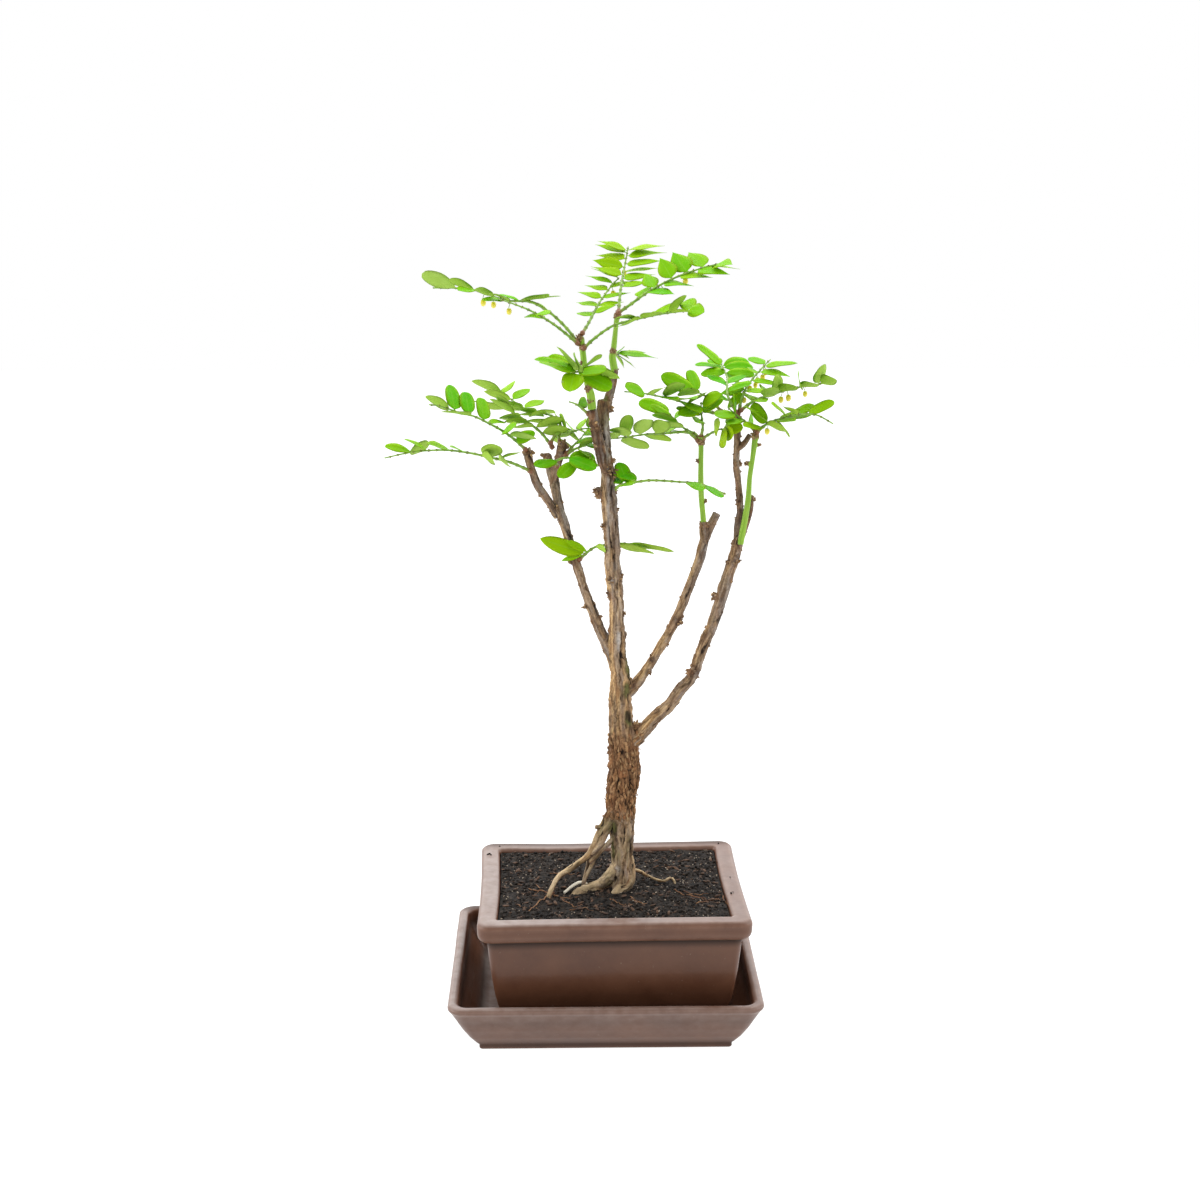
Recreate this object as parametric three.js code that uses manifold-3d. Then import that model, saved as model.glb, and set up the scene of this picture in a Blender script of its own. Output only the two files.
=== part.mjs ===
// A phyllanthus buxifolius bonsai in a brown stoneware pot on its drip tray.
// Millimetres, +Z up, +X right and -Y towards the viewer. The origin is the centre of the tray's underside.
import * as THREE from "three";
import Module from "manifold-3d";
import { mergeVertices } from "three/addons/utils/BufferGeometryUtils.js";

const wasm = await Module();
wasm.setup();

const gap = 0.3; // left between pieces that touch
const degree = Math.PI / 180;

// Driving dimensions of the stoneware. A profile row is an inset from the outer edge and a height.
const tray = {
  width: 175,
  depth: 146.5,
  corner: 9,
  waist: 0,
  floor: 6.5,
  profile: [
    [19, 0], [16.8, 0.8], [16.8, 3.6], [15.6, 4.6], [11.6, 9.6], [7.6, 16], [4.6, 22], [1.4, 28],
    [0.2, 29.5], [0, 31], [1.4, 32.5], [4.6, 32.5], [5.8, 31.2], [6.6, 24], [11, 16], [16.5, 8.5],
    [21, 6.5],
  ],
};
const pot = {
  width: 152,
  depth: 126.5,
  corner: 7,
  waist: 0.8,
  turn: 1.0 * degree,
  place: [4.1, 0, 0],
  floor: 17,
  profile: [
    [22, 10], [17, 11], [14, 15], [10.9, 25], [9.4, 32], [7.4, 45], [5.8, 60], [5.4, 66.4], [0.9, 67.4],
    [0.1, 69.5], [0, 75.6], [1.9, 77.7], [9.4, 77.7], [11, 76.2], [11.6, 66], [13, 45], [16.5, 25],
    [22, 17],
  ],
};
const foot = { length: 18, width: 14, x: 44, y: 26, bottom: tray.floor + gap, top: 12 };
const drain = { radius: 5, x: 28 };
const soil = {
  profile: [[22.4, 17.3], [16.9, 25.3], [13.4, 45.3], [12, 66], [11.5, 75.6]],
  top: 76.2,
  lump: 1.1,
};

// The wood. Each row of a path is x, y, z and the radius there.
const wood = {
  trunk: [
    [9, -10, 58, 5], [10, -8.5, 72, 6.4], [10.5, -6.5, 86, 6], [11, -4, 104, 6.3], [10, -1, 117.5, 8.6],
    [10, 0, 127.5, 8.3], [11.5, 0, 140, 8.4], [11.5, 0, 155, 8.1], [10, 0, 170, 6.7], [9, 0, 185, 5.9],
    [9, 0, 200.5, 5.3], [7.5, 0, 215, 4.7], [7.5, 0, 230, 4.5], [7, 0, 244.5, 4.2], [5, 0, 267, 4],
    [3.5, 0, 293, 4], [1.5, 0, 318, 3.7], [0.5, 0, 334, 3.1], [-0.5, 0, 350, 3.3], [0, 0, 356, 3.3],
  ],
  left_branch: [
    [7, 0, 202, 3], [5, 1, 210, 3], [2.5, 2, 216.5, 2.9], [-3, 4, 229, 2.8], [-9.5, 7, 246, 2.7],
    [-14.5, 10, 261, 2.7], [-21.5, 14, 284, 2.6], [-24.5, 16, 293.5, 2.5], [-27, 18, 306, 2.5],
    [-28.5, 19, 312.5, 2.4], [-31.5, 20, 323, 2.2],
  ],
  left_fork: [[-28, 18, 308, 2.2], [-26, 17, 316.5, 2.2], [-24, 16, 323.5, 2.2], [-22.5, 15, 330, 2.4]],
  left_shoot: [
    [-25.5, 15, 289, 2.2], [-29.5, 12, 296.5, 2.3], [-35.5, 9, 306, 2.2], [-39, 6, 315.5, 2.1],
    [-41.5, 4, 325, 2.2],
  ],
  middle_branch: [
    [9, 0, 181, 3], [12.5, 1, 189, 2.9], [17, 2, 194, 2.8], [25.5, 4, 205, 2.7], [33, 6, 217, 2.7],
    [40, 8, 229, 2.7], [49, 11, 251, 2.5], [53.5, 12, 264, 2.5], [57, 13, 277, 2.4], [63.5, 15, 290.5, 2.1],
  ],
  middle_knuckle: [[56.5, 12.5, 275, 2.2], [56, 12, 280, 2.3], [55.8, 12, 286, 2.1]],
  right_branch: [
    [11, 0, 154, 4], [16, -1, 161.5, 3.7], [20.5, -1, 166, 3.5], [28.5, -2, 176, 3.4],
    [36.5, -2, 183.5, 3.4], [43.5, -2, 193.5, 3.3], [50, -2, 201.5, 3.2], [56, 0, 218.5, 3.1],
    [60.5, 0, 229.5, 2.9], [66, 1, 247, 2.9], [69.5, 2, 259.5, 3.1], [72.5, 2, 269, 3.1], [75, 3, 279, 2.6],
  ],
  right_fork: [
    [74, 3, 272, 2.1], [74.5, 4, 287, 1.9], [75.5, 4, 294.5, 1.8], [74.5, 5, 308.5, 1.8], [73, 5, 320, 1.9],
    [73, 5, 330, 1.8], [73.5, 5, 338, 1.9], [72.5, 5.5, 346, 2.2],
  ],
  right_fork_twig: [[72.5, 5.5, 343, 1.6], [68.5, 6.2, 347, 1.6], [64, 6.8, 348.5, 1.5]],
  right_side_twig: [[73, 5, 328, 1.3], [76.5, 4.5, 331, 1.4], [80, 3.5, 336.5, 1.2]],
  right_shoot_bark: [[75, 3, 277, 2], [78.5, 2.6, 286, 1.5], [81, 2.4, 294, 1.3], [81.5, 2.2, 301, 1.1]],
  crown_left: [
    [1, -3, 318, 2], [-1, -5, 323, 2.3], [-2, -6, 329, 2.7], [-4.5, -6, 341, 2.7],
    [-6.5, -6, 351.5, 2.5],
  ],
  crown_right: [
    [0.5, 0.5, 350, 2.2], [2, 2, 354, 2.2], [4, 2, 361.5, 2], [5, 2, 366, 1.8], [6, 2, 372, 1.7],
    [4.5, 2, 379, 1.6],
  ],
};
const roots = {
  left_root: [
    [9, -6, 90, 4.2], [4, -7.5, 83, 4], [-2, -8.5, 78.5, 3.4], [-9.5, -12, 76.8, 3.2],
    [-16, -16, 75.6, 2.7], [-21, -19, 70, 2],
  ],
  right_lobe: [
    [12.5, -6, 92, 4], [14, -8.5, 83, 3.6], [11, -12, 78, 3], [6.5, -16, 75.5, 2.6], [3.5, -18.5, 70, 2],
  ],
  strand: [
    [5, -4, 122, 2], [1, -6, 117, 2], [-3.5, -7, 107.5, 1.9], [-8, -8, 98, 1.9], [-15, -8, 91.5, 1.6],
    [-21.5, -8.5, 87, 1.6], [-27, -13, 84, 1.4], [-31.5, -21, 77, 1.3], [-33, -24, 72, 1],
  ],
  inner_strand: [[5, -5, 119, 1.7], [1.5, -7.5, 110, 1.5], [-2.5, -9, 102.5, 1.4], [-7, -8.5, 97.5, 1.5]],
  strand_fork: [[-8, -8, 97, 1.4], [-9, -4, 88, 1.3], [-11, 1, 78, 1.4], [-11.5, 2, 72, 1.1]],
  strand_stub: [[-0.5, -7, 113, 1.1], [-5, -8, 113.6, 1.1]],
  pale_root: [[-9, -8, 78, 1], [-12, -7, 80, 1.1], [-17, -10, 79.6, 1.1], [-23, -15.5, 76.6, 0.9]],
  thin_root: [
    [13, -6, 86, 0.9], [19, -4, 85.4, 0.9], [26.5, 2, 79, 0.8], [34, -2, 77.8, 0.8],
    [39.5, 1, 78.4, 0.8], [42.5, -5, 73.5, 0.8],
  ],
};

// Swollen nodes, cut ends and bud scars on the wood: x, y, z and radius
const knuckles = [
  [-28, 14.5, 294, 3.2], [-32, 19.5, 322, 2.6], [-22.5, 15, 329, 3.2], [-41, 4, 327, 3], [5, -2, 316, 3.4],
  [6, 0.5, 305.5, 1.8], [-3, -6, 333, 3.1], [-5.5, -6.5, 344, 3.1], [2.5, 0.5, 352, 3.2], [5.5, 2, 368, 2.4],
  [4.5, 2, 379.5, 2.4], [56, 12, 284, 2.9], [62, 0.5, 246, 2.5], [81.8, 2.2, 301, 2], [73.5, 5, 320, 2.5],
  [74, 3, 276, 3.2], [15, -0.5, 196, 3.2], [72.5, 5.5, 346, 2.8], [65, 6.8, 348.5, 2], [8.5, 0, 258, 3],
  [4, -1, 248, 3],
];

// Green shoots that carry the newest sprays
const shoots = {
  shoot_middle: {
    path: [
      [56, 12, 283, 1.5], [55.5, 12, 290, 1.5], [54.5, 12, 300, 1.5], [54, 12, 314, 1.5],
      [54, 12, 329, 1.5], [54, 12, 334, 2],
    ],
    knuckles: [[54, 12, 331.5, 2.6], [56.8, 12, 298, 1.3], [52, 12, 320.5, 1.4]],
  },
  shoot_right: {
    path: [
      [75.5, -0.8, 276, 1.6], [76.6, -0.4, 283, 1.7], [78, 0, 291, 1.6], [79.5, 0, 302, 1.5],
      [80, 0, 313, 1.4], [81.3, -1, 324, 1.4], [82.5, -1, 335, 1.8],
    ],
    knuckles: [[82.5, -1, 337, 2.6], [84.6, -1, 331.5, 1.3], [78.3, 0, 321, 1.5]],
  },
  shoot_crown_left: {
    path: [
      [-6.5, -6, 352, 2.2], [-7.2, -6, 359.5, 2.1], [-8.2, -6, 363.5, 2], [-10.5, -6, 375.5, 1.6],
      [-11.2, -6, 381.5, 1.6], [-12.4, -6, 391, 1.9],
    ],
    knuckles: [
      [-12.4, -6, 390, 2.7], [-10.5, -6, 375, 2.2], [-7.5, -6, 357.5, 2.7], [-7.8, -6, 364.5, 2.5],
    ],
  },
  shoot_crown_right: {
    path: [[4.5, 2, 379, 1.5], [5.5, 2, 384, 1.3], [6.6, 3, 396, 1.2], [7.5, 3, 402.5, 1.7]],
    knuckles: [[7.5, 3, 401.5, 2.4]],
  },
};

// Leafy sprays. A stem point is x, y, z. The face is the way the spray's upper side looks.
// A leaf row is its place along the stem from 0 to 1, then in degrees its angle off the stem (minus is the
// left), its rise towards the face and its roll, and last its length in millimetres. A bud row is its place
// along the stem and how far it hangs.
const sprays = {
  spray_crown_left_upper: {
    stem: [
      [-14.5, -5, 388.5], [-21, -5, 396.5], [-29.5, -3, 404], [-39.5, 0, 409], [-52.5, 4, 409.5],
      [-68.5, 8, 414.5], [-79.5, 10, 415.5], [-92, 12, 415.5],
    ],
    face: [0, -0.15, 1],
    buds: [[0.51, 6], [0.62, 4.5], [0.68, 5.5]],
    leaves: [
      [0.85, -20, 25, 65, 20], [0.74, -30, 20, 45, 15], [0.72, -65, 10, 0, 16], [0.61, -60, 20, 40, 16],
      [0.51, -70, 25, 0, 17], [0.55, -70, 10, 0, 17], [0.44, 0, 20, 0, 12], [0.44, 170, 5, -10, 21],
      [0.46, 130, 0, -30, 19], [0.38, 115, -20, 15, 17],
    ],
  },
  spray_crown_left_lower: {
    stem: [
      [-14.5, -8, 388], [-26.5, -12, 398], [-38, -18, 405.5], [-47.5, -24, 410], [-55, -29, 413],
    ],
    face: [0, 0, 1],
    leaves: [
      [0.42, 80, 0, -40, 17], [0.54, -80, 5, 50, 16],
    ],
  },
  spray_crown_back_left: {
    stem: [
      [-11.5, -5, 393], [-8, 1, 398], [-2, 14, 407.5], [5, 28, 415.5], [9, 34, 419],
    ],
    face: [0, -0.8, 1],
    buds: [[0.87, 5.5]],
    leaves: [
      [0.27, -55, -30, 5, 16], [0.43, -65, -20, 10, 16], [0.58, -90, 0, 5, 14],
      [0.74, -80, -10, 10, 15], [0.88, -90, 0, 15, 16], [1, -90, 0, 20, 17], [0.31, 60, 20, -15, 13],
      [0.43, 55, 5, -20, 14], [0.58, 55, 10, -15, 15], [0.79, 30, 0, -15, 15],
    ],
  },
  spray_crown_back: {
    stem: [
      [8, 4, 403.5], [9.5, 18, 414.5], [11.5, 32, 422.5], [13.5, 44, 430.5], [14.5, 50, 435],
    ],
    face: [0, -0.8, 1],
    buds: [[0.69, 2.5]],
    leaves: [
      [0.94, -95, 25, 15, 17], [0.91, -80, 5, 15, 18], [0.81, -75, -5, 5, 17], [0.68, -80, 0, -20, 18],
      [0.55, -80, 5, 0, 18], [0.95, 95, 20, -25, 21], [0.86, 90, 15, -15, 22], [0.73, 90, 15, -5, 20],
      [0.6, 70, 5, -25, 19], [0.48, 70, 5, 0, 18], [0.34, 70, 5, -15, 16],
    ],
  },
  spray_crown_right: {
    stem: [
      [8, 2, 403], [14.5, 2, 407.5], [24.5, 2, 414.5], [38.5, 4, 421.5], [53.5, 6, 426.5],
      [67, 8, 429.5],
    ],
    face: [0, -0.3, 1],
    buds: [[0.42, 3], [0.63, 3.5]],
    leaves: [
      [0.35, -85, 10, 15, 16], [0.51, -85, 25, 0, 17], [0.65, -95, 20, -5, 19], [0.79, -100, 10, 0, 19],
      [0.3, 55, -5, -20, 17], [0.43, 40, -10, -15, 17], [0.57, 30, -10, -5, 18], [0.73, 40, -5, -5, 19],
      [0.84, 10, -15, -20, 16], [0.9, 70, 20, 10, 16], [0.2, -50, -10, 10, 16],
    ],
  },
  spray_crown_front_right: {
    stem: [
      [-10.5, -9, 385.5], [-6.5, -10, 389.5], [1, -13, 395.5], [8, -15, 399], [23.5, -19, 403],
      [33, -22, 405], [44, -25, 406.5],
    ],
    face: [0, -0.2, 1],
    leaves: [
      [0.53, 115, 25, 5, 17], [0.57, 120, 10, 25, 19], [0.57, 30, 15, -30, 16], [0.66, -65, -10, 5, 17],
      [0.7, -45, 5, 15, 16], [0.82, -45, 25, -70, 13], [0.99, -95, 10, 0, 17], [0.99, 50, 10, 40, 17],
      [0.85, 40, 10, -25, 16],
    ],
  },
  spray_crown_front: {
    stem: [
      [-10, -8, 369.5], [-11.5, -16, 373], [-14, -28, 375], [-17, -40, 376],
    ],
    face: [0, -0.7, 1],
    leaves: [
      [0.75, 40, 40, -10, 19], [0.75, 95, 15, -40, 17], [0.91, 95, 10, -10, 22], [1, 60, 10, -15, 18],
      [0.89, -10, -25, 0, 17], [0.66, -5, 30, -45, 17], [0.67, -155, 30, -40, 19],
      [0.67, -100, -15, 45, 19], [0.49, -90, 5, -25, 21], [0.67, -65, 15, 40, 17],
    ],
  },
  spray_crown_back_right: {
    stem: [
      [5.5, 4, 380.5], [8, 12, 380], [11.5, 22, 379.5], [15, 34, 379],
    ],
    face: [0, -0.3, 1],
    leaves: [
      [0.19, 85, 5, 15, 22], [0.14, 35, -25, 10, 16], [0.28, 10, -10, 10, 15], [0.13, 0, 15, -35, 16],
      [0.25, 45, 5, 10, 17], [0.06, 10, -25, 20, 16],
    ],
  },
  spray_crown_twig: {
    stem: [
      [-8.5, -6, 349.5], [-13, -7, 353.5], [-16, -8, 355.5], [-19, -8.5, 356.5],
    ],
    face: [0, -0.6, 1],
    leaves: [[0.6, 125, -5, 20, 12]],
  },
  spray_left_low: {
    stem: [
      [-40.5, 3, 317], [-51, -2, 322.5], [-62, -6, 326], [-73, -9, 329], [-85, -12, 331],
      [-97, -14, 331], [-106, -15, 330], [-118, -16, 327.5],
    ],
    face: [0, -0.2, 1],
    leaves: [
      [0.82, 5, 25, -15, 14], [0.72, 10, 30, 5, 13], [0.84, 130, -5, -60, 17], [0.57, -35, 20, -15, 17],
      [0.47, -45, 20, -5, 16], [0.35, -105, 40, -25, 19], [0.36, -100, 15, -50, 17],
      [0.24, -130, 40, -5, 14], [0.24, -90, 15, -40, 17],
    ],
  },
  spray_left_mid: {
    stem: [
      [-43, 3, 329], [-49, 0, 335], [-55, -3, 340], [-62.5, -5, 344.5], [-70, -7, 348.5],
      [-77, -8, 350.5], [-88, -10, 354.5], [-94, -11, 355.5],
    ],
    face: [0, -0.3, 1],
    leaves: [
      [0.8, 35, -5, 65, 16], [0.76, 75, 20, 0, 19], [0.63, 80, 20, -5, 17], [0.48, 75, 20, -15, 17],
      [0.6, -25, 5, 40, 19], [0.42, 125, 0, -25, 16], [0.28, -80, 35, 90, 17],
      [0.13, -105, 55, 120, 13], [0.2, -105, 35, 0, 18],
    ],
  },
  spray_left_back: {
    stem: [
      [-28.5, 14, 328.5], [-33.5, 16, 335], [-39, 18, 339.5], [-45, 20, 343.5], [-51, 22, 347],
      [-57, 24, 349.5], [-65.5, 27, 351.5], [-77.5, 30, 351.5],
    ],
    face: [0, -0.3, 1],
    leaves: [
      [0.56, -20, -5, 65, 14], [0.53, -45, 45, 60, 15], [0.46, -30, 20, 60, 17],
      [0.39, -65, 15, 70, 19], [0.3, -55, 10, 65, 17], [0.25, -65, 10, 65, 17],
      [0.46, 125, -5, -50, 18], [0.35, 115, -10, -60, 19], [0.24, 145, 50, -80, 16],
      [0.16, 145, 45, -100, 15], [0.58, 115, -15, -60, 15],
    ],
  },
  spray_left_far: {
    stem: [
      [-24, 16, 330.5], [-26.5, 22, 341.5], [-30, 26, 344.5], [-37.5, 31, 345], [-44.5, 36, 347],
      [-51.5, 42, 351], [-56.5, 46, 354],
    ],
    face: [0, -0.5, 1],
    leaves: [
      [0.98, -15, 0, 80, 20], [0.85, -30, 5, 85, 16], [0.98, 65, -5, -30, 16], [0.85, 80, -5, -5, 16],
      [0.67, 90, -10, -5, 17], [0.55, 100, -25, -40, 18], [0.67, -60, 30, 60, 16],
      [0.5, -75, 35, 35, 17], [0.39, -90, 30, 40, 17],
    ],
  },
  spray_left_inner_a: {
    stem: [
      [-20, 14, 325], [-16.5, 17, 328.5], [-13, 21, 331], [-10.5, 26, 333.5],
    ],
    face: [0, -0.3, 1],
    leaves: [
      [0.28, -80, -15, 75, 17], [0.49, 90, 30, 0, 14], [0.66, -60, -10, 70, 16], [0.9, 25, -10, 0, 13],
    ],
  },
  spray_left_inner_b: {
    stem: [
      [-20.5, 12, 324], [-16.5, 12, 327], [-13, 14, 328], [-6, 18, 329.5],
    ],
    face: [0, -0.3, 1],
    leaves: [
      [0.54, 80, 40, -20, 17], [0.8, 85, 20, 0, 15], [0.41, 100, 10, -35, 16],
    ],
  },
  spray_left_arc: {
    stem: [
      [-29, 12, 331], [-26.5, 13, 335], [-23.5, 15, 336], [-16.5, 18, 336.5], [-10.5, 20, 337.5],
      [-5, 22, 337],
    ],
    face: [0, -0.3, 1],
    leaves: [
      [0.32, -75, 15, 65, 17], [0.42, -80, 15, 90, 15], [0.56, -75, -10, 45, 17],
      [0.71, -65, -5, -30, 16], [0.88, 90, 60, 10, 16], [1, -40, 5, -85, 16], [0.42, -80, -30, 10, 18],
      [0.67, 80, 10, -35, 16], [0.88, 85, 15, 5, 17],
    ],
  },
  spray_left_front: {
    stem: [
      [-25.5, 12, 318], [-26, 8, 321.5], [-20, 4, 324], [-14.5, 4, 322], [-9.5, 6, 319.5],
      [-6.5, 8, 318],
    ],
    face: [-0.2, -1, 0.8],
    leaves: [
      [0.22, 85, 60, -55, 17], [0.66, 120, 5, 25, 15], [0.47, 20, 15, -15, 19],
      [0.47, -25, -30, -10, 16], [0.96, 140, 55, 35, 13],
    ],
  },
  spray_middle_low: {
    stem: [
      [6, -0.5, 306.5], [8, -6, 310], [13, -9, 312], [19, -12, 313.5], [26, -14, 314.5], [40, -16, 314],
      [52, -17, 313], [65.5, -18, 307.5],
    ],
    face: [0, -0.2, 1],
    leaves: [
      [0.13, -120, 25, 0, 16], [0.18, -115, 40, 30, 15], [0.27, -155, 20, 5, 16],
      [0.69, 65, 10, -5, 17], [0.81, 55, 10, -5, 17], [0.14, 45, 5, 0, 17],
    ],
  },
  spray_right_inner_low: {
    stem: [
      [52, 12, 332], [47.5, 13, 336], [44, 14, 336.5], [34, 15, 335.5], [23.5, 15, 335],
      [13, 15, 333.5], [3.5, 15, 332.5],
    ],
    face: [0, 0.4, 1],
    leaves: [
      [0.84, -110, 45, 0, 14], [0.67, -105, 15, -5, 19], [0.5, -105, 10, -20, 18],
      [0.36, 105, 30, 0, 19], [0.87, 135, -10, -5, 19], [0.62, 140, -5, 5, 19], [0.97, -95, 0, -5, 15],
      [0.32, 125, 10, 20, 17], [0.78, -60, 10, 0, 17],
    ],
  },
  spray_right_inner_mid: {
    stem: [
      [53, 13, 333], [50.5, 14, 335.5], [47, 15, 337], [43, 16, 339.5], [36.5, 17, 346],
    ],
    face: [0, -0.3, 1],
    leaves: [
      [0.97, 15, -30, -30, 20], [0.84, -25, 0, -5, 15], [0.66, -35, 0, 70, 17], [0.48, -45, 10, 60, 17],
      [0.81, 95, 10, -60, 16],
    ],
  },
  spray_right_up: {
    stem: [
      [54, 12, 334.5], [54.5, 9, 339.5], [54, 6, 343.5], [53, 2, 349.5], [52.5, -4, 355.5],
    ],
    face: [0, 0.5, 1],
    leaves: [
      [0.58, 50, -15, -70, 16], [0.73, 55, -30, -70, 16], [0.42, 15, -45, -45, 16],
      [0.73, -45, 5, 90, 16], [0.67, -50, -5, 90, 15], [0.93, -35, -15, 90, 17],
    ],
  },
  spray_right_left_up: {
    stem: [
      [64, 8, 349], [58.5, 9, 355.5], [54.5, 10, 357.5], [50.5, 11, 359.5],
    ],
    face: [0, -0.3, 1],
    leaves: [
      [0.99, -25, 10, -30, 21], [0.96, 50, 10, -10, 16], [0.84, -55, 10, 65, 17],
      [0.61, 120, -10, -10, 17],
    ],
  },
  spray_right_long_left: {
    stem: [
      [63.5, 5, 347.5], [51.5, 3, 350.5], [43, 2, 354.5], [34.5, 1, 357], [25.5, 0, 359],
      [20.5, -1, 360], [11, -2, 361],
    ],
    face: [0, -0.3, 1],
    leaves: [
      [0.79, -35, 20, -35, 17], [0.72, -100, 40, 20, 17], [0.6, -125, 55, -15, 17],
      [0.47, -110, 35, 5, 19], [0.35, -120, 65, 20, 15], [0.64, -110, 25, 5, 17],
      [0.41, -115, 15, 10, 18],
    ],
  },
  spray_right_short: {
    stem: [
      [55, 11, 333.5], [59, 6, 337], [63, 0, 340], [67, -5, 340.5],
    ],
    face: [-0.2, -1, 0.6],
    leaves: [
      [0.8, -15, -10, 20, 12], [0.8, 45, 15, 25, 17], [0.87, 20, 20, 35, 16], [0.47, 5, 25, 10, 16],
    ],
  },
  spray_right_rosette: {
    stem: [
      [72.5, 6, 348.5], [68.5, 12, 356], [68.5, 22, 361.5], [69.5, 34, 364.5], [67.5, 50, 369.5],
    ],
    face: [0, -0.6, 1],
    leaves: [
      [0.95, -65, 40, 0, 18], [0.98, -20, -5, -20, 13], [0.91, -55, 0, 5, 16], [0.85, -125, 35, 0, 15],
      [0.75, -50, -10, -25, 16], [0.79, 15, -30, 55, 17], [0.95, 70, -5, 25, 18], [0.9, 85, -5, 20, 17],
      [0.77, 90, -5, 25, 16], [0.4, -40, 0, 15, 16], [0.44, 40, 0, -10, 16], [0.3, 100, 30, 0, 14],
      [0.75, 50, -40, 40, 17],
    ],
  },
  spray_right_upper: {
    stem: [
      [73.5, 5, 348], [76.5, 10, 357.5], [81, 18, 363.5], [89, 28, 370.5], [93.5, 33, 374],
    ],
    face: [0, -0.6, 1],
    buds: [[0.26, 2.5], [0.51, 3.5], [0.66, 7], [0.7, 4], [0.84, 7], [0.88, 3.5]],
    leaves: [
      [0.85, 70, 20, -15, 19], [0.72, 80, 10, -15, 18], [0.53, 80, 10, -10, 15],
      [0.32, 100, 25, -10, 13], [0.89, -70, -20, 5, 16], [0.67, -45, -25, 20, 16],
      [0.48, -70, -35, 0, 16], [0.29, -120, -50, -55, 14], [0.35, -85, -30, -20, 16],
    ],
  },
  spray_right_long: {
    stem: [
      [75, 4, 350], [82, 4, 355], [89.5, 5, 357.5], [98, 6, 360], [107, 7, 362], [117.5, 8, 363.5],
      [122.5, 9, 364],
    ],
    face: [0, 0, 1],
    buds: [[0.48, 4], [0.56, 4], [0.74, 4]],
    leaves: [
      [0.28, 70, 20, -35, 17], [0.32, -80, 10, 45, 16], [0.48, 110, 50, 45, 15],
      [0.48, 70, 15, -35, 17], [0.69, 100, 35, -85, 16], [0.7, 65, 10, -35, 16], [0.9, 90, 50, 20, 16],
      [0.92, 75, 15, -50, 17], [0.18, 75, 0, -10, 15], [0.15, -85, 10, 45, 16],
    ],
  },
  spray_right_low: {
    stem: [
      [83.5, -2, 339], [89, -5, 344], [97.5, -8, 347.5], [105, -10, 349.5], [114, -12, 349.5],
      [123, -14, 345],
    ],
    face: [0, -0.4, 1],
    buds: [[0.16, 3.5]],
    leaves: [
      [0.3, -30, -20, 10, 19], [0.28, 55, -40, -85, 12], [0.67, -35, 10, 10, 16],
      [0.48, -45, -10, 15, 16], [0.19, -170, 65, 30, 16], [0.28, 40, 10, -20, 17],
      [0.42, 105, 60, -55, 17], [0.54, 105, 45, -10, 17], [0.09, 90, 45, -65, 17],
      [0.17, -115, 30, -25, 17], [0.15, 45, -10, -85, 17],
    ],
  },
  spray_right_between: {
    stem: [
      [82.5, 0, 339], [77, 0, 344], [71.5, -2, 348.5], [67, -6, 352.5],
    ],
    face: [0, -0.5, 1],
    leaves: [
      [0.69, -30, -15, 10, 17], [0.73, 100, 20, 25, 15], [0.45, -55, 0, 35, 17],
      [0.25, 95, -15, 40, 16],
    ],
  },
  spray_low_twig: {
    stem: [
      [-13, 9, 266], [-8.5, 7.6, 270.5], [-4.5, 8, 273], [0, 10, 273.5], [10.5, 15, 273.5],
      [20.5, 16, 272],
    ],
    face: [0, -0.2, 1],
    leaves: [
      [0.16, 175, 75, -50, 13], [0.1, 145, 35, -30, 13], [0.12, 165, 65, -60, 26],
      [0.56, 30, -5, -45, 24], [0.77, 25, 5, -45, 28], [0.3, 85, 15, -90, 15],
    ],
  },
};
const spray = { rootRadius: 1.1, tipRadius: 0.6, sides: 3, ringEvery: 12 };
const leaf = { widthShare: 0.46, petiole: 0.5, start: 0.25, thickness: 0.6, fold: 0.12, droop: 0.05 };
const bud = { radius: 1.3, stalkRadius: 0.45 };
// Half of a leaf's outline from its stalk to its tip: share of the length and of the half width
const leafOutline = [[0.3, 0.92], [0.76, 0.88]];

const bark = { color: 0x7a5c45, roughness: 0.9 };
const greenShoot = { color: 0x7fae35, roughness: 0.55 };
const leafGreen = { color: 0x57a81f, roughness: 0.45 };
const stoneware = { color: 0x6b4e44, roughness: 0.6 };
const peat = { color: 0x241b17, roughness: 1 };

function makeMesh(name, geometry, look) {
  const mesh = new THREE.Mesh(geometry, new THREE.MeshStandardMaterial({ metalness: 0, ...look }));
  mesh.name = name;
  return mesh;
}

// Booleans
function solidOf(geometry) {
  const bare = geometry.clone();
  bare.deleteAttribute("normal");
  bare.deleteAttribute("uv");
  const merged = mergeVertices(bare, 1e-4);
  const vertProperties = merged.attributes.position.array;
  const triVerts = new Uint32Array(merged.index.array);
  return new wasm.Manifold(new wasm.Mesh({ numProp: 3, vertProperties, triVerts }));
}

function geometryOf(solid) {
  const made = solid.getMesh();
  const geometry = new THREE.BufferGeometry();
  geometry.setAttribute("position", new THREE.BufferAttribute(made.vertProperties, 3));
  geometry.setIndex(new THREE.BufferAttribute(made.triVerts, 1));
  return geometry;
}

function joined(solids) {
  return solids.reduce((whole, next) => whole.add(next));
}

function largestBody(solid) {
  return solid.decompose().reduce((best, body) => (body.volume() > best.volume() ? body : best));
}

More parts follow.
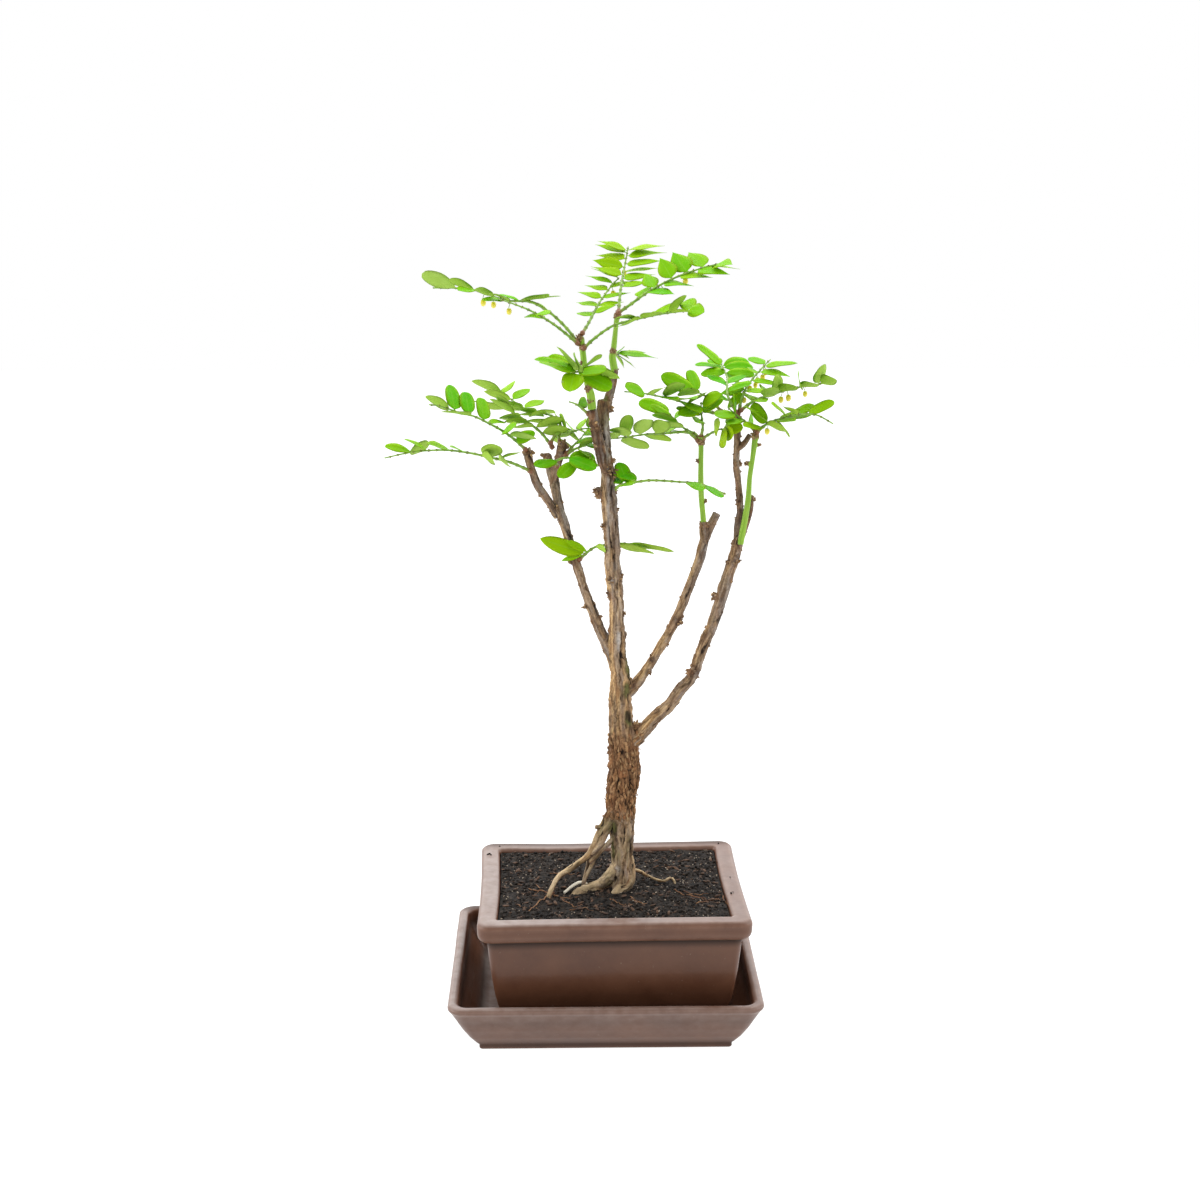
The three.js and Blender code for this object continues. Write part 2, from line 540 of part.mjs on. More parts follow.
// A closed surface through rings with the same number of points, each end closed by a fan round its centre
function loft(rings) {
  const count = rings[0].length;
  const positions = rings.flat().flatMap((p) => [p.x, p.y, p.z]);
  const index = [];
  for (let r = 0; r < rings.length - 1; r += 1) {
    for (let i = 0; i < count; i += 1) {
      const a = r * count + i;
      const b = r * count + ((i + 1) % count);
      index.push(a, b, a + count, b, b + count, a + count);
    }
  }
  for (const [r, turned] of [[0, true], [rings.length - 1, false]]) {
    const centre = rings[r].reduce((sum, p) => sum.clone().add(p)).divideScalar(count);
    const middle = positions.length / 3;
    positions.push(centre.x, centre.y, centre.z);
    for (let i = 0; i < count; i += 1) {
      const a = r * count + i;
      const b = r * count + ((i + 1) % count);
      index.push(...(turned ? [middle, b, a] : [middle, a, b]));
    }
  }
  const geometry = new THREE.BufferGeometry();
  geometry.setAttribute("position", new THREE.Float32BufferAttribute(positions, 3));
  geometry.setIndex(index);
  return geometry;
}

// A rounded rectangle at one height, its sides pulled in at the middle by the waist
function rectangleRing({ width, depth, corner, waist }, inset, z) {
  const steps = 2;
  const halfX = width / 2 - inset;
  const halfY = depth / 2 - inset;
  const radius = Math.max(1.5, corner - inset * 0.45);
  const ring = [];
  [[1, -1], [1, 1], [-1, 1], [-1, -1]].forEach(([sx, sy], quarter) => {
    const middle = [
      [0, -halfY + waist],
      [halfX - waist, 0],
      [0, halfY - waist],
      [-halfX + waist, 0],
    ][quarter];
    ring.push(new THREE.Vector3(...middle, z));
    for (let i = 0; i <= steps; i += 1) {
      const angle = (quarter - 1 + i / steps) * 90 * degree;
      const x = sx * (halfX - radius) + radius * Math.cos(angle);
      const y = sy * (halfY - radius) + radius * Math.sin(angle);
      ring.push(new THREE.Vector3(x, y, z));
    }
  });
  return ring;
}

function vessel(size) {
  return solidOf(loft(size.profile.map(([inset, z]) => rectangleRing(size, inset, z))));
}

// A round tube along a path whose rows are x, y, z and radius
function tube(path, sides, ringEvery, grow = 0) {
  const points = path.map(([x, y, z]) => new THREE.Vector3(x, y, z));
  const curve = new THREE.CatmullRomCurve3(points, false, "catmullrom", 0.5);
  const count = Math.max(2, Math.round(curve.getLength() / ringEvery));
  const frames = curve.computeFrenetFrames(count, false);
  const along = [0];
  points.slice(1).forEach((p, i) => along.push(along[i] + p.distanceTo(points[i])));
  const total = along[along.length - 1];
  const radiusAt = (u) => {
    const k = Math.max(1, along.findIndex((d) => d >= u * total - 1e-6));
    const t = (u * total - along[k - 1]) / (along[k] - along[k - 1]);
    return THREE.MathUtils.lerp(path[k - 1][3], path[k][3], t) + grow;
  };
  const rings = [];
  for (let r = 0; r <= count; r += 1) {
    const u = r / count;
    const centre = curve.getPointAt(u);
    if (r === 0) centre.addScaledVector(frames.tangents[0], -grow);
    if (r === count) centre.addScaledVector(frames.tangents[count], grow);
    const radius = radiusAt(u);
    const ring = [];
    for (let i = 0; i < sides; i += 1) {
      const angle = (i / sides) * 2 * Math.PI;
      const p = centre.clone();
      p.addScaledVector(frames.normals[r], radius * Math.cos(angle));
      p.addScaledVector(frames.binormals[r], radius * Math.sin(angle));
      ring.push(p);
    }
    rings.push(ring);
  }
  return solidOf(loft(rings));
}

function ball([x, y, z, radius], grow = 0) {
  const geometry = new THREE.OctahedronGeometry(1.15 * radius + grow, 0);
  geometry.rotateY(20 * degree);
  geometry.translate(x, y, z);
  return solidOf(geometry);
}

// All the wood and roots as one solid, grown outwards by a clearance
function woodSolid(grow = 0) {
  const trunk = tube(wood.trunk, 8, 15, grow);
  const branches = Object.entries(wood)
    .filter(([name]) => name !== "trunk")
    .map(([, path]) => tube(path, 6, 13, grow));
  const rootTubes = Object.values(roots).map((path) => tube(path, 5, 9, grow));
  const bumps = knuckles.map((row) => ball(row, grow));
  return joined([trunk, ...branches, ...rootTubes, ...bumps]);
}

function shootSolid({ path, knuckles: bumps }, grow = 0) {
  return joined([tube(path, 6, 9, grow), ...bumps.map((row) => ball(row, grow))]);
}

// A leaf blade: its edge rises from the midrib by the fold and its tip droops
function blade(root, direction, normal, length) {
  const across = new THREE.Vector3().crossVectors(direction, normal);
  const halfWidth = (leaf.widthShare * length) / 2;
  const reach = length + leaf.petiole;
  const at = (share, side, lift) => {
    const p = root.clone();
    p.addScaledVector(direction, share * reach);
    p.addScaledVector(across, side * halfWidth);
    const rise = Math.abs(side) * halfWidth * leaf.fold;
    const fall = share * share * length * leaf.droop;
    p.addScaledVector(normal, lift + rise - fall);
    return p;
  };
  const left = leafOutline.map(([share, side]) => [share, -side]).reverse();
  const outline = [[0, 0], ...leafOutline, [1, 0], ...left];
  const lifts = [leaf.thickness / 2, -leaf.thickness / 2];
  const points = lifts.flatMap((lift) => outline.map(([share, side]) => at(share, side, lift)));
  const positions = points.flatMap((p) => p.toArray());
  const count = outline.length;
  const tip = count / 2;
  const faces = [];
  for (let i = 0; i < tip - 1; i += 1) {
    faces.push([i, i + 1, tip], [tip, (count - i - 1) % count, (count - i) % count]);
  }
  const index = faces.flatMap(([a, b, c]) => [a, b, c, a + count, c + count, b + count]);
  for (let i = 0; i < count; i += 1) {
    const j = (i + 1) % count;
    index.push(i, i + count, j, j, i + count, j + count);
  }
  const geometry = new THREE.BufferGeometry();
  geometry.setAttribute("position", new THREE.Float32BufferAttribute(positions, 3));
  geometry.setIndex(index);
  return solidOf(geometry);
}

function leafBlade(curve, face, [place, angle, rise, roll, length]) {
  const stalk = curve.getPointAt(place);
  const tangent = curve.getTangentAt(place);
  const up = face.clone().addScaledVector(tangent, -face.dot(tangent)).normalize();
  const across = new THREE.Vector3().crossVectors(tangent, up);
  const flat = tangent.clone().multiplyScalar(Math.cos(angle * degree));
  flat.addScaledVector(across, Math.sin(angle * degree));
  const direction = flat.clone().multiplyScalar(Math.cos(rise * degree));
  direction.addScaledVector(up, Math.sin(rise * degree));
  const normal = up.clone().multiplyScalar(Math.cos(rise * degree));
  normal.addScaledVector(flat, -Math.sin(rise * degree));
  normal.applyAxisAngle(direction, roll * degree);
  const root = stalk.addScaledVector(direction, leaf.start);
  return blade(root, direction, normal, length);
}

// A flower bud on its thin stalk, straight down from the stem
function budSolid(curve, [place, drop]) {
  const { x, y, z } = curve.getPointAt(place);
  const stalk = [[x, y, z, bud.stalkRadius], [x, y, z - drop, bud.stalkRadius]];
  return tube(stalk, 3, drop).add(ball([x, y, z - drop, bud.radius]));
}

function spraySolid({ stem, face, leaves, buds = [] }) {
  const curve = new THREE.CatmullRomCurve3(
    stem.map((p) => new THREE.Vector3(...p)),
    false,
    "catmullrom",
    0.5,
  );
  const path = stem.map((p, i) => {
    const share = i / (stem.length - 1);
    return [...p, THREE.MathUtils.lerp(spray.rootRadius, spray.tipRadius, share)];
  });
  const upper = new THREE.Vector3(...face).normalize();
  return joined([
    tube(path, spray.sides, spray.ringEvery),
    ...leaves.map((row) => leafBlade(curve, upper, row)),
    ...buds.map((row) => budSolid(curve, row)),
  ]);
}

function traySolid() {
  return vessel(tray);
}

function potSolid() {
  const feet = [[1, 1], [1, -1], [-1, 1], [-1, -1]].map(([sx, sy]) => {
    const block = new THREE.BoxGeometry(foot.length, foot.width, foot.top - foot.bottom);
    block.translate(sx * foot.x, sy * foot.y, (foot.top + foot.bottom) / 2);
    return solidOf(block);
  });
  const holes = [1, -1].map((side) => {
    const hole = new THREE.CylinderGeometry(drain.radius, drain.radius, pot.floor, 12);
    hole.rotateX(90 * degree);
    hole.translate(side * drain.x, 0, pot.floor);
    return solidOf(hole);
  });
  return joined([vessel(pot), ...feet]).subtract(joined(holes));
}

// Seeded random numbers from 0 to 1
function randomFrom(seed) {
  let state = seed;
  return () => {
    state = (state * 1664525 + 1013904223) % 4294967296;
    return state / 4294967296;
  };
}

function soilSolid() {
  const random = randomFrom(7);
  const rings = soil.profile.map(([inset, z]) => rectangleRing(pot, inset, z));
  const edge = rings[rings.length - 1];
  for (const share of [0.88, 0.7, 0.48, 0.22]) {
    rings.push(
      edge.map((p) => {
        const z = soil.top + (random() - 0.3) * soil.lump + (1 - share) * soil.lump;
        return new THREE.Vector3(p.x * share, p.y * share, z);
      }),
    );
  }
  return solidOf(loft(rings));
}

function inPotFrame(geometry) {
  geometry.rotateZ(pot.turn);
  geometry.translate(...pot.place);
  return geometry;
}

const bonsai = new THREE.Group();
bonsai.add(makeMesh("drip_tray", geometryOf(traySolid()), stoneware));
bonsai.add(makeMesh("pot", inPotFrame(geometryOf(potSolid())), stoneware));

const timber = woodSolid();
const clearWood = woodSolid(gap + 0.1);
const soilInPlace = solidOf(inPotFrame(geometryOf(soilSolid())));
bonsai.add(makeMesh("soil", geometryOf(largestBody(soilInPlace.subtract(clearWood))), peat));
bonsai.add(makeMesh("trunk", geometryOf(timber), bark));

let carriers = clearWood;
for (const [name, row] of Object.entries(shoots)) {
  const solid = largestBody(shootSolid(row).subtract(clearWood));
  bonsai.add(makeMesh(name, geometryOf(solid), greenShoot));
  carriers = carriers.add(shootSolid(row, gap + 0.1));
}
for (const [name, row] of Object.entries(sprays)) {
  const solid = largestBody(spraySolid(row).subtract(carriers));
  bonsai.add(makeMesh(name, geometryOf(solid), leafGreen));
}

export default bonsai;
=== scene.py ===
import math
import bpy
import numpy as np
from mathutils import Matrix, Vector


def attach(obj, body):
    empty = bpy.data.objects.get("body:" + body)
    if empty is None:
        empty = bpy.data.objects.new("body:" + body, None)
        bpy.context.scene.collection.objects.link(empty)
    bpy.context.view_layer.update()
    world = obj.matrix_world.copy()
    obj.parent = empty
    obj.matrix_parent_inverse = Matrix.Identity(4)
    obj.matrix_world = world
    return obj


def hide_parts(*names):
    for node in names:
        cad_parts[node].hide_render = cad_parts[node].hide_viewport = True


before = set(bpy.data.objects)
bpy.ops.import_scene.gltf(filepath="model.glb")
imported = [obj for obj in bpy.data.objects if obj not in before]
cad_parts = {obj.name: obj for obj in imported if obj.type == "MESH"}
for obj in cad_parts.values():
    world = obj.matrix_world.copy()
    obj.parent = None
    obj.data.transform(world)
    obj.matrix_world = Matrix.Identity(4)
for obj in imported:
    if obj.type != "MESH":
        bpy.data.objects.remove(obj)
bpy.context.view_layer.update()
print("frame:", len(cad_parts), "nodes")

mm = 0.001    # the shapes below are worked out in millimetres
perMm = 1000    # object coordinates are metres, so a noise scale of perMm / 5 has cells of 5 mm
random = np.random.default_rng(4)    # every random draw comes from here, in the script's order


# Surfaces

def unit(v):
    return v / np.maximum(np.linalg.norm(v, axis=-1, keepdims=True), 1e-9)


# Quads of a lofted surface: rings of the same even number of points, run counterclockwise about
# the way the rings go, each end closed by strips of quads from side to side
def loftFaces(rings, sides):
    first = (np.arange(rings - 1) * sides)[:, None]
    side = np.arange(sides)[None, :]
    following = (side + 1) % sides
    walls = np.stack([first + side, first + following, first + following + sides, first + side + sides], -1)
    strip = np.arange(sides // 2 - 1)
    cap = np.stack([strip, strip + 1, sides - 2 - strip, sides - 1 - strip], -1)
    return np.vstack([walls.reshape(-1, 4), cap[:, ::-1], cap + (rings - 1) * sides])


# One part per lofted ring array of shape (copies, rings, sides, 3), with a value a point for each mark
def loftPart(rings, material=0, marks=None):
    rings = np.asarray(rings, float)
    if rings.ndim == 3:
        rings = rings[None]
    copies, count, sides, _ = rings.shape
    faces = loftFaces(count, sides)
    offsets = (np.arange(copies) * count * sides)[:, None, None]
    part = {"points": rings.reshape(-1, 3), "faces": (faces[None] + offsets).reshape(-1, 4)}
    part["material"] = np.tile(np.broadcast_to(material, len(faces)), copies)
    part["marks"] = {}
    for key, value in (marks or {}).items():
        shape = (copies, count, sides) + ((3,) if np.shape(value)[-1:] == (3,) else ())
        part["marks"][key] = np.broadcast_to(value, shape).reshape((-1,) + shape[3:])
    return part


def joinParts(parts):
    starts = np.cumsum([0] + [len(p["points"]) for p in parts])
    return {
        "points": np.vstack([p["points"] for p in parts]),
        "faces": np.vstack([p["faces"] + s for p, s in zip(parts, starts)]),
        "material": np.concatenate([p["material"] for p in parts]),
        "marks": {k: np.concatenate([p["marks"][k] for p in parts]) for k in parts[0]["marks"]},
    }


# Keeps one number or one vector for each point of a mesh
def setMark(mesh, key, value):
    flat = value.ndim == 1
    mark = mesh.attributes.new(key, "FLOAT" if flat else "FLOAT_VECTOR", "POINT")
    mark.data.foreach_set("value" if flat else "vector", value.astype(np.float32).ravel())


def makeMesh(name, part):
    mesh = bpy.data.meshes.new(name)
    faces = part["faces"]
    mesh.vertices.add(len(part["points"]))
    mesh.vertices.foreach_set("co", (part["points"] * mm).astype(np.float32).ravel())
    mesh.loops.add(faces.size)
    mesh.loops.foreach_set("vertex_index", faces.astype(np.int32).ravel())
    mesh.polygons.add(len(faces))
    mesh.polygons.foreach_set("loop_start", (np.arange(len(faces)) * 4).astype(np.int32))
    mesh.polygons.foreach_set("material_index", part["material"].astype(np.int32))
    mesh.update(calc_edges=True)
    mesh.shade_smooth()
    for key, value in part["marks"].items():
        setMark(mesh, key, value)
    return mesh


def makeObject(name, part):
    piece = bpy.data.objects.new(name, makeMesh(name, part))
    bpy.context.scene.collection.objects.link(piece)
    return piece


# Gives a piece its materials, hangs it under the root body, and hides the CAD nodes it stands for
def finishPiece(piece, materials, nodes):
    for material in materials:
        piece.data.materials.append(material)
    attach(piece, "root")
    if nodes:
        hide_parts(*nodes)
    return piece


def makePiece(name, part, materials, nodes):
    return finishPiece(makeObject(name, part), materials, nodes)


# Noise worked out on whole arrays

# A random number from 0 to 1 for each cell: large primes scatter the bits of its whole coordinates
def hashed(cell, seed):
    x, y, z = (cell[..., i].astype(np.int64) for i in range(3))
    n = (x * 73856093) ^ (y * 19349663) ^ (z * 83492791) ^ (seed * 15485863)
    n = (n ^ (n >> 13)) * 1274126177 & 0x7FFFFFFF
    n = (n ^ (n >> 15)) * 668265263 & 0x7FFFFFFF
    return (n & 0xFFFFF) / 0xFFFFF


# Smooth noise from -1 to 1: random values on a unit lattice, blended across each cell
def softNoise(points, seed):
    cell = np.floor(points)
    part = points - cell
    part = part * part * (3 - 2 * part)
    total = 0
    for corner in np.ndindex(2, 2, 2):
        weight = np.prod(np.where(corner, part, 1 - part), axis=-1)
        total = total + weight * hashed(cell + corner, seed)
    return total * 2 - 1


# Sum of smooth noises, each about twice as fine and half as strong as the one before
def layeredNoise(points, octaves, seed):
    return sum(softNoise(points * 2.03 ** k + 17.3 * k, seed + k) * 0.5 ** k for k in range(octaves))


# One random point a cell, kept off its walls: gives the distance to the border between the two nearest of
# them, and a random value that belongs to the nearest
def crackNoise(points, seed):
    cell = np.floor(points)
    nearest = np.full(points.shape[:-1], 9.0)
    second = nearest.copy()
    tone = np.zeros_like(nearest)
    for step in np.ndindex(3, 3, 3):
        other = cell + np.array(step) - 1
        jitter = np.stack([hashed(other, seed + k) for k in (1, 2, 3)], -1)
        distance = np.linalg.norm(other + 0.15 + 0.7 * jitter - points, axis=-1)
        closer = distance < nearest
        second = np.where(closer, nearest, np.minimum(second, distance))
        tone = np.where(closer, hashed(other, seed + 4), tone)
        nearest = np.where(closer, distance, nearest)
    return second - nearest, tone


# Paths

# A smooth curve through the rows, a uniform Catmull-Rom spline with mirrored ends, cut at even steps of its
# length. A fourth number in the rows is the radius there.
def smoothPath(rows, step):
    rows = np.asarray(rows, float)
    spine = rows[:, :3]
    padded = np.vstack([2 * spine[0] - spine[1], spine, 2 * spine[-1] - spine[-2]])
    t = np.linspace(0, 1, 16, endpoint=False)[:, None]
    a, b, c, d = (padded[i:len(spine) - 1 + i, None] for i in range(4))
    square, cube = 2 * a - 5 * b + 4 * c - d, 3 * b - a - 3 * c + d
    fine = 0.5 * (2 * b + (c - a) * t + square * t ** 2 + cube * t ** 3)
    fine = np.vstack([fine.reshape(-1, 3), spine[-1:]])
    run = np.r_[0, np.cumsum(np.linalg.norm(np.diff(fine, axis=0), axis=1))]
    count = max(3, round(run[-1] / step) + 1)
    at = np.linspace(0, run[-1], count)
    centres = np.stack([np.interp(at, run, fine[:, k]) for k in range(3)], -1)
    tangents = unit(np.gradient(centres, axis=0))
    chord = np.r_[0, np.cumsum(np.linalg.norm(np.diff(spine, axis=0), axis=1))]
    radii = np.ones(count)
    if rows.shape[1] > 3:
        radii = np.interp(at / run[-1] * chord[-1], chord, rows[:, 3])
    return centres, tangents, radii, at


# Rings round a path: the radius along two directions square to the path, the first one nearest to the guide
def tubeRings(centres, tangents, radii, sides, guide):
    first = unit(guide - tangents * (tangents @ np.asarray(guide, float))[:, None])
    second = np.cross(tangents, first)
    angle = np.arange(sides) / sides * 2 * math.pi
    radii = np.broadcast_to(np.reshape(radii, (len(centres), -1)), (len(centres), sides))
    return (centres[:, None] + (radii * np.cos(angle))[..., None] * first[:, None]
            + (radii * np.sin(angle))[..., None] * second[:, None])


# Small rough lumps: squashed balls of a few rings, each with its own three half axes as the rows of a matrix
def lumpRings(centres, axes, rough=0.25, rings=4, sides=6):
    turn = (np.arange(rings) + 0.6) / (rings + 0.2) * math.pi    # angle down from the first pole
    spin = np.arange(sides) / sides * 2 * math.pi
    across = np.sin(turn)[:, None]
    ball = np.broadcast_arrays(across * np.cos(spin), across * np.sin(spin), -np.cos(turn)[:, None])
    uneven = 1 + rough * random.uniform(-1, 1, (len(centres), rings, sides, 1))
    return centres[:, None, None] + (np.stack(ball, -1) * uneven) @ axes[:, None]


# Half axes of lumps that lie flat: length and width turned at random and tipped a little, and thickness
def lyingAxes(sizes, tip=0.3):
    yaw = random.uniform(0, 2 * math.pi, len(sizes))
    rise = random.uniform(-tip, tip, len(sizes))
    long = np.stack([np.cos(yaw) * np.cos(rise), np.sin(yaw) * np.cos(rise), np.sin(rise)], -1)
    wide = unit(np.cross([0, 0, 1], long))
    return np.stack([long, wide, np.cross(long, wide)], 1) * np.asarray(sizes)[:, :, None]


# Materials

def linear(hexColour):
    parts = [int(hexColour[i:i + 2], 16) / 255 for i in (1, 3, 5)]
    return tuple(c / 12.92 if c <= 0.04045 else ((c + 0.055) / 1.055) ** 2.4 for c in parts) + (1.0,)


# Adds a shader node: settings by name, colour stops, and inputs that are values, hex colours or other nodes'
# outputs. Gives back one of its outputs, the first unless another is named.
def add(material, kind, inputs=None, stops=None, out=0, **settings):
    tree = material.node_tree
    node = tree.nodes.new("ShaderNode" + kind)
    for key, value in settings.items():
        setattr(node, key, value)
    for index, (place, colour) in enumerate(stops or []):
        stop = node.color_ramp.elements[index] if index < 2 else node.color_ramp.elements.new(place)
        stop.position = place
        stop.color = linear(colour) if isinstance(colour, str) else (colour, colour, colour, 1)
    for key, value in (inputs or {}).items():
        if isinstance(value, bpy.types.NodeSocket):
            tree.links.new(value, node.inputs[key])
        else:
            node.inputs[key].default_value = linear(value) if isinstance(value, str) else value
    return node.outputs[out] if node.outputs else None


def newMaterial(name):
    material = bpy.data.materials.new(name)
    material.use_nodes = True
    material.node_tree.nodes.clear()
    return material


# Ends a material: the shader with its values and sockets, linked to the output
def finishMaterial(material, inputs):
    shader = add(material, "BsdfPrincipled", inputs)
    add(material, "OutputMaterial", {"Surface": shader})
    return material


# Stoneware

# Profile rows are an inset from the outer edge and a height: out along the underside, up the outer wall,
# over the rim and down the inside. The pale film, partly dried water and partly a painted sheen, and the
# dirt with painted shade are shares of the most that shows.
trayValues = {
    "width": 175, "depth": 146.5, "corner": 9, "waist": 0, "seed": 11,
    "floorFilmAndSheen": 0.9, "sideFilmAndSheen": 0.26, "dirtAndShadeShare": 0.6,
    "profile": [
        [19, 0], [16.8, 0.8], [16.8, 3.6], [15.6, 4.6], [11.6, 9.6], [7.6, 16], [4.6, 22], [1.4, 28],
        [0.2, 29.5], [0, 31], [1.5, 32.4], [3.8, 32.5], [5.6, 31.4], [6.6, 24], [11, 16], [16.5, 8.5],
        [21, 6.5],
    ],
}
potRim = 77.7
potValues = {
    "width": 152, "depth": 126.5, "corner": 7, "waist": 0.8, "turn": 1.0, "shift": 4.1, "seed": 23,
    "floorFilmAndSheen": 0, "sideFilmAndSheen": 0, "dirtAndShadeShare": 1,
    "profile": [
        [22, 10], [17, 11], [14, 15], [10.9, 25], [9.4, 32], [7.4, 45], [5.8, 60], [5.4, 66], [3.2, 66.2],
        [1, 67.6], [0.2, 70], [0, 75.6], [1.9, potRim], [9.4, potRim], [11, 76.2], [11.6, 66], [13, 45],
        [16.5, 25], [22, 17],
    ],
    "foot": {"width": 18, "depth": 14, "corner": 3, "waist": 0, "bevel": 1, "x": 44, "y": 26},
    "footHeights": (6.8, 7.8, 12),
    "drain": {"radius": 5, "sides": 24, "x": 28, "bottom": 5, "top": 25},
}
stonewareValues = {
    "edgeRadius": 1.1, "profileStep": 2.5, "sidePoints": 34, "arcPoints": 9,
    "warp": 0.5, "warpLength": 38, "rimSag": 0.45, "sagLength": 30,
    # The back of the rim is darkened as painted shade. The film colour is dried water with a painted sheen,
    # and the dirt colour is dirt with painted shade in the hollows
    "hollowReach": 2.6, "rimDepth": 1.1, "rimFade": 0.8, "backRimShade": 0.9,
    "body": "#533323", "bodyLight": "#63402d", "worn": "#7c5c4c", "dust": "#8f7b6c", "film": "#8c7e78",
    "dirt": "#1f120b",
}


# Rounds a profile: each corner becomes a curve between points an edge radius away on its two sides, and long
# stretches are cut up. Gives the rows, and a mark from 1 on a sharp outer edge to -1 in a sharp hollow.
def roundedProfile(rows, edgeRadius, step):
    rows = np.asarray(rows, float)
    legs = np.diff(rows, axis=0)
    lengths = np.linalg.norm(legs, axis=1)
    bend = np.linspace(0, 1, 5)[:, None]
    pieces, marks, last = [rows[:1]], [np.zeros(1)], rows[0]
    for i in range(1, len(rows)):
        reach = min(edgeRadius, 0.45 * lengths[i - 1], 0.45 * lengths[min(i, len(lengths) - 1)])
        start = rows[i] - legs[i - 1] / lengths[i - 1] * (reach if i < len(rows) - 1 else 0)
        cuts = max(1, math.ceil(np.linalg.norm(start - last) / step))
        pieces.append(last + (start - last) * np.linspace(0, 1, cuts + 1)[1:-1, None])
        marks.append(np.zeros(cuts - 1))
        last = start
        if i == len(rows) - 1:
            pieces.append(rows[-1:])
            marks.append(np.zeros(1))
            break
        end = rows[i] + legs[i] / lengths[i] * reach
        pieces.append((1 - bend) ** 2 * start + 2 * bend * (1 - bend) * rows[i] + bend ** 2 * end)
        turned = -np.cross(legs[i - 1], legs[i]) / (lengths[i - 1] * lengths[i])
        marks.append(np.full(len(bend), turned) * (1 - (2 * bend[:, 0] - 1) ** 2 * 0.6))
        last = end
    return np.vstack(pieces), np.concatenate(marks)


# Rounded rectangles, one a row of insets and heights, run counterclockwise from the front left corner.
# The corner radius shrinks with the inset, and the waist pulls the middle of each side in.
def rectangleRings(values, insets, heights, sidePoints, arcPoints):
    quarter = np.arange(4)[:, None] * math.pi / 2
    along = np.stack([np.cos(quarter), np.sin(quarter)], -1)
    outward = np.stack([np.sin(quarter), -np.cos(quarter)], -1)
    insets = np.asarray(insets, float)[:, None, None]
    sizes = np.array([values["width"], values["depth"]]) / 2
    length = sizes[[0, 1, 0, 1]][:, None] - insets
    distance = sizes[[1, 0, 1, 0]][:, None] - insets
    radius = np.maximum(1.5, values["corner"] - 0.45 * insets)
    s = np.linspace(-1, 1, sidePoints, endpoint=False)
    arc = np.linspace(0, math.pi / 2, arcPoints, endpoint=False)
    u = np.concatenate([s * (length - radius), length - radius + radius * np.sin(arc)], -1)
    straight = distance - values["waist"] * (1 - s ** 2)
    v = np.concatenate([straight, distance - radius + radius * np.cos(arc)], -1)
    xy = u[..., None] * along + v[..., None] * outward
    xy = xy.reshape(len(insets), -1, 2)
    z = np.broadcast_to(np.asarray(heights, float)[:, None, None], xy.shape[:2] + (1,))
    return np.concatenate([xy, z], -1)


# What the hand and the kiln do to a mould's shape: walls wander inwards and the rim sags, never out or up
def handMade(points, rimHeight, seed):
    values = stonewareValues
    fromAxis = points * [1, 1, 0]
    wander = values["warp"] * 0.5 * (1 + layeredNoise(points / values["warpLength"], 2, seed) / 1.5)
    sag = values["rimSag"] * 0.5 * (1 + softNoise(fromAxis / values["sagLength"], seed + 5))
    nearRim = np.clip(points[..., 2:] / rimHeight, 0, 1) ** 3
    return points - unit(fromAxis) * wander[..., None] - np.array([0, 0, 1]) * sag[..., None] * nearRim


# The profile carried round its rectangle. A pale film lies on the rim, three times as much at the left end
# as at the right and least along the back, and on the floor and outer wall by the vessel's shares: partly
# dried water, partly a painted sheen. Dirt with painted shade fades as a bell curve with the distance from a
# sharp hollow, and painted shade lies along the back of the rim too.
def vesselPart(values):
    look = stonewareValues
    rows, edge = roundedProfile(values["profile"], look["edgeRadius"], look["profileStep"])
    height = rows[:, 1]
    rings = rectangleRings(values, rows[:, 0], height, look["sidePoints"], look["arcPoints"])
    rings = handMade(rings, height.max(), values["seed"])
    x, y = rings[..., 0] / values["width"], rings[..., 1] / values["depth"]    # from -0.5 to 0.5
    rim = np.clip((height - height.max() + look["rimDepth"]) / look["rimFade"], 0, 1)[:, None]
    inside = np.arange(len(rows)) > height.argmax()
    floor = inside * np.clip((12 - height) / 4, 0, 1) * values["floorFilmAndSheen"]
    wall = ~inside * np.clip((height - 7) / 18, 0, 1) * values["sideFilmAndSheen"]
    # Pale film on the rim: dried water and a painted sheen, more to the left and less along the back
    film = rim * np.clip(0.5 - 0.5 * x - 5 * np.clip(y - 0.4, 0, 0.1), 0, 1)
    film = np.maximum(film, np.maximum(floor, wall)[:, None])
    toHollow = np.linalg.norm(rows[:, None] - rows[edge < -0.3], axis=-1).min(axis=1)
    # Dirt and painted shade near the sharp hollows, and painted shade along the back of the rim
    hollow = np.exp(-(toHollow / look["hollowReach"]) ** 2)[:, None] * values["dirtAndShadeShare"]
    hollow = np.maximum(hollow, look["backRimShade"] * rim * np.clip(14 * (y - 0.42), 0, 1))
    return loftPart(rings, marks={"edge": edge[:, None], "hollow": hollow, "film": film})


# Turns and moves what was made round the pot's own middle
def inPot(part):
    turn = math.radians(potValues["turn"])
    x, y, z = part["points"].T
    turnedX = x * math.cos(turn) - y * math.sin(turn) + potValues["shift"]
    turnedY = x * math.sin(turn) + y * math.cos(turn)
    part["points"] = np.stack([turnedX, turnedY, z], -1)
    return part


plainMarks = {"edge": 0, "hollow": 0, "film": 0}


# Four feet: rounded blocks with a bevel at the bottom
def footPart():
    foot = potValues["foot"]
    rings = rectangleRings(foot, [foot["bevel"], 0, 0], potValues["footHeights"], 4, 4)
    corners = np.array([[1, 1, 0], [1, -1, 0], [-1, 1, 0], [-1, -1, 0]]) * [foot["x"], foot["y"], 0]
    return loftPart(rings[None] + corners[:, None, None], marks=plainMarks)


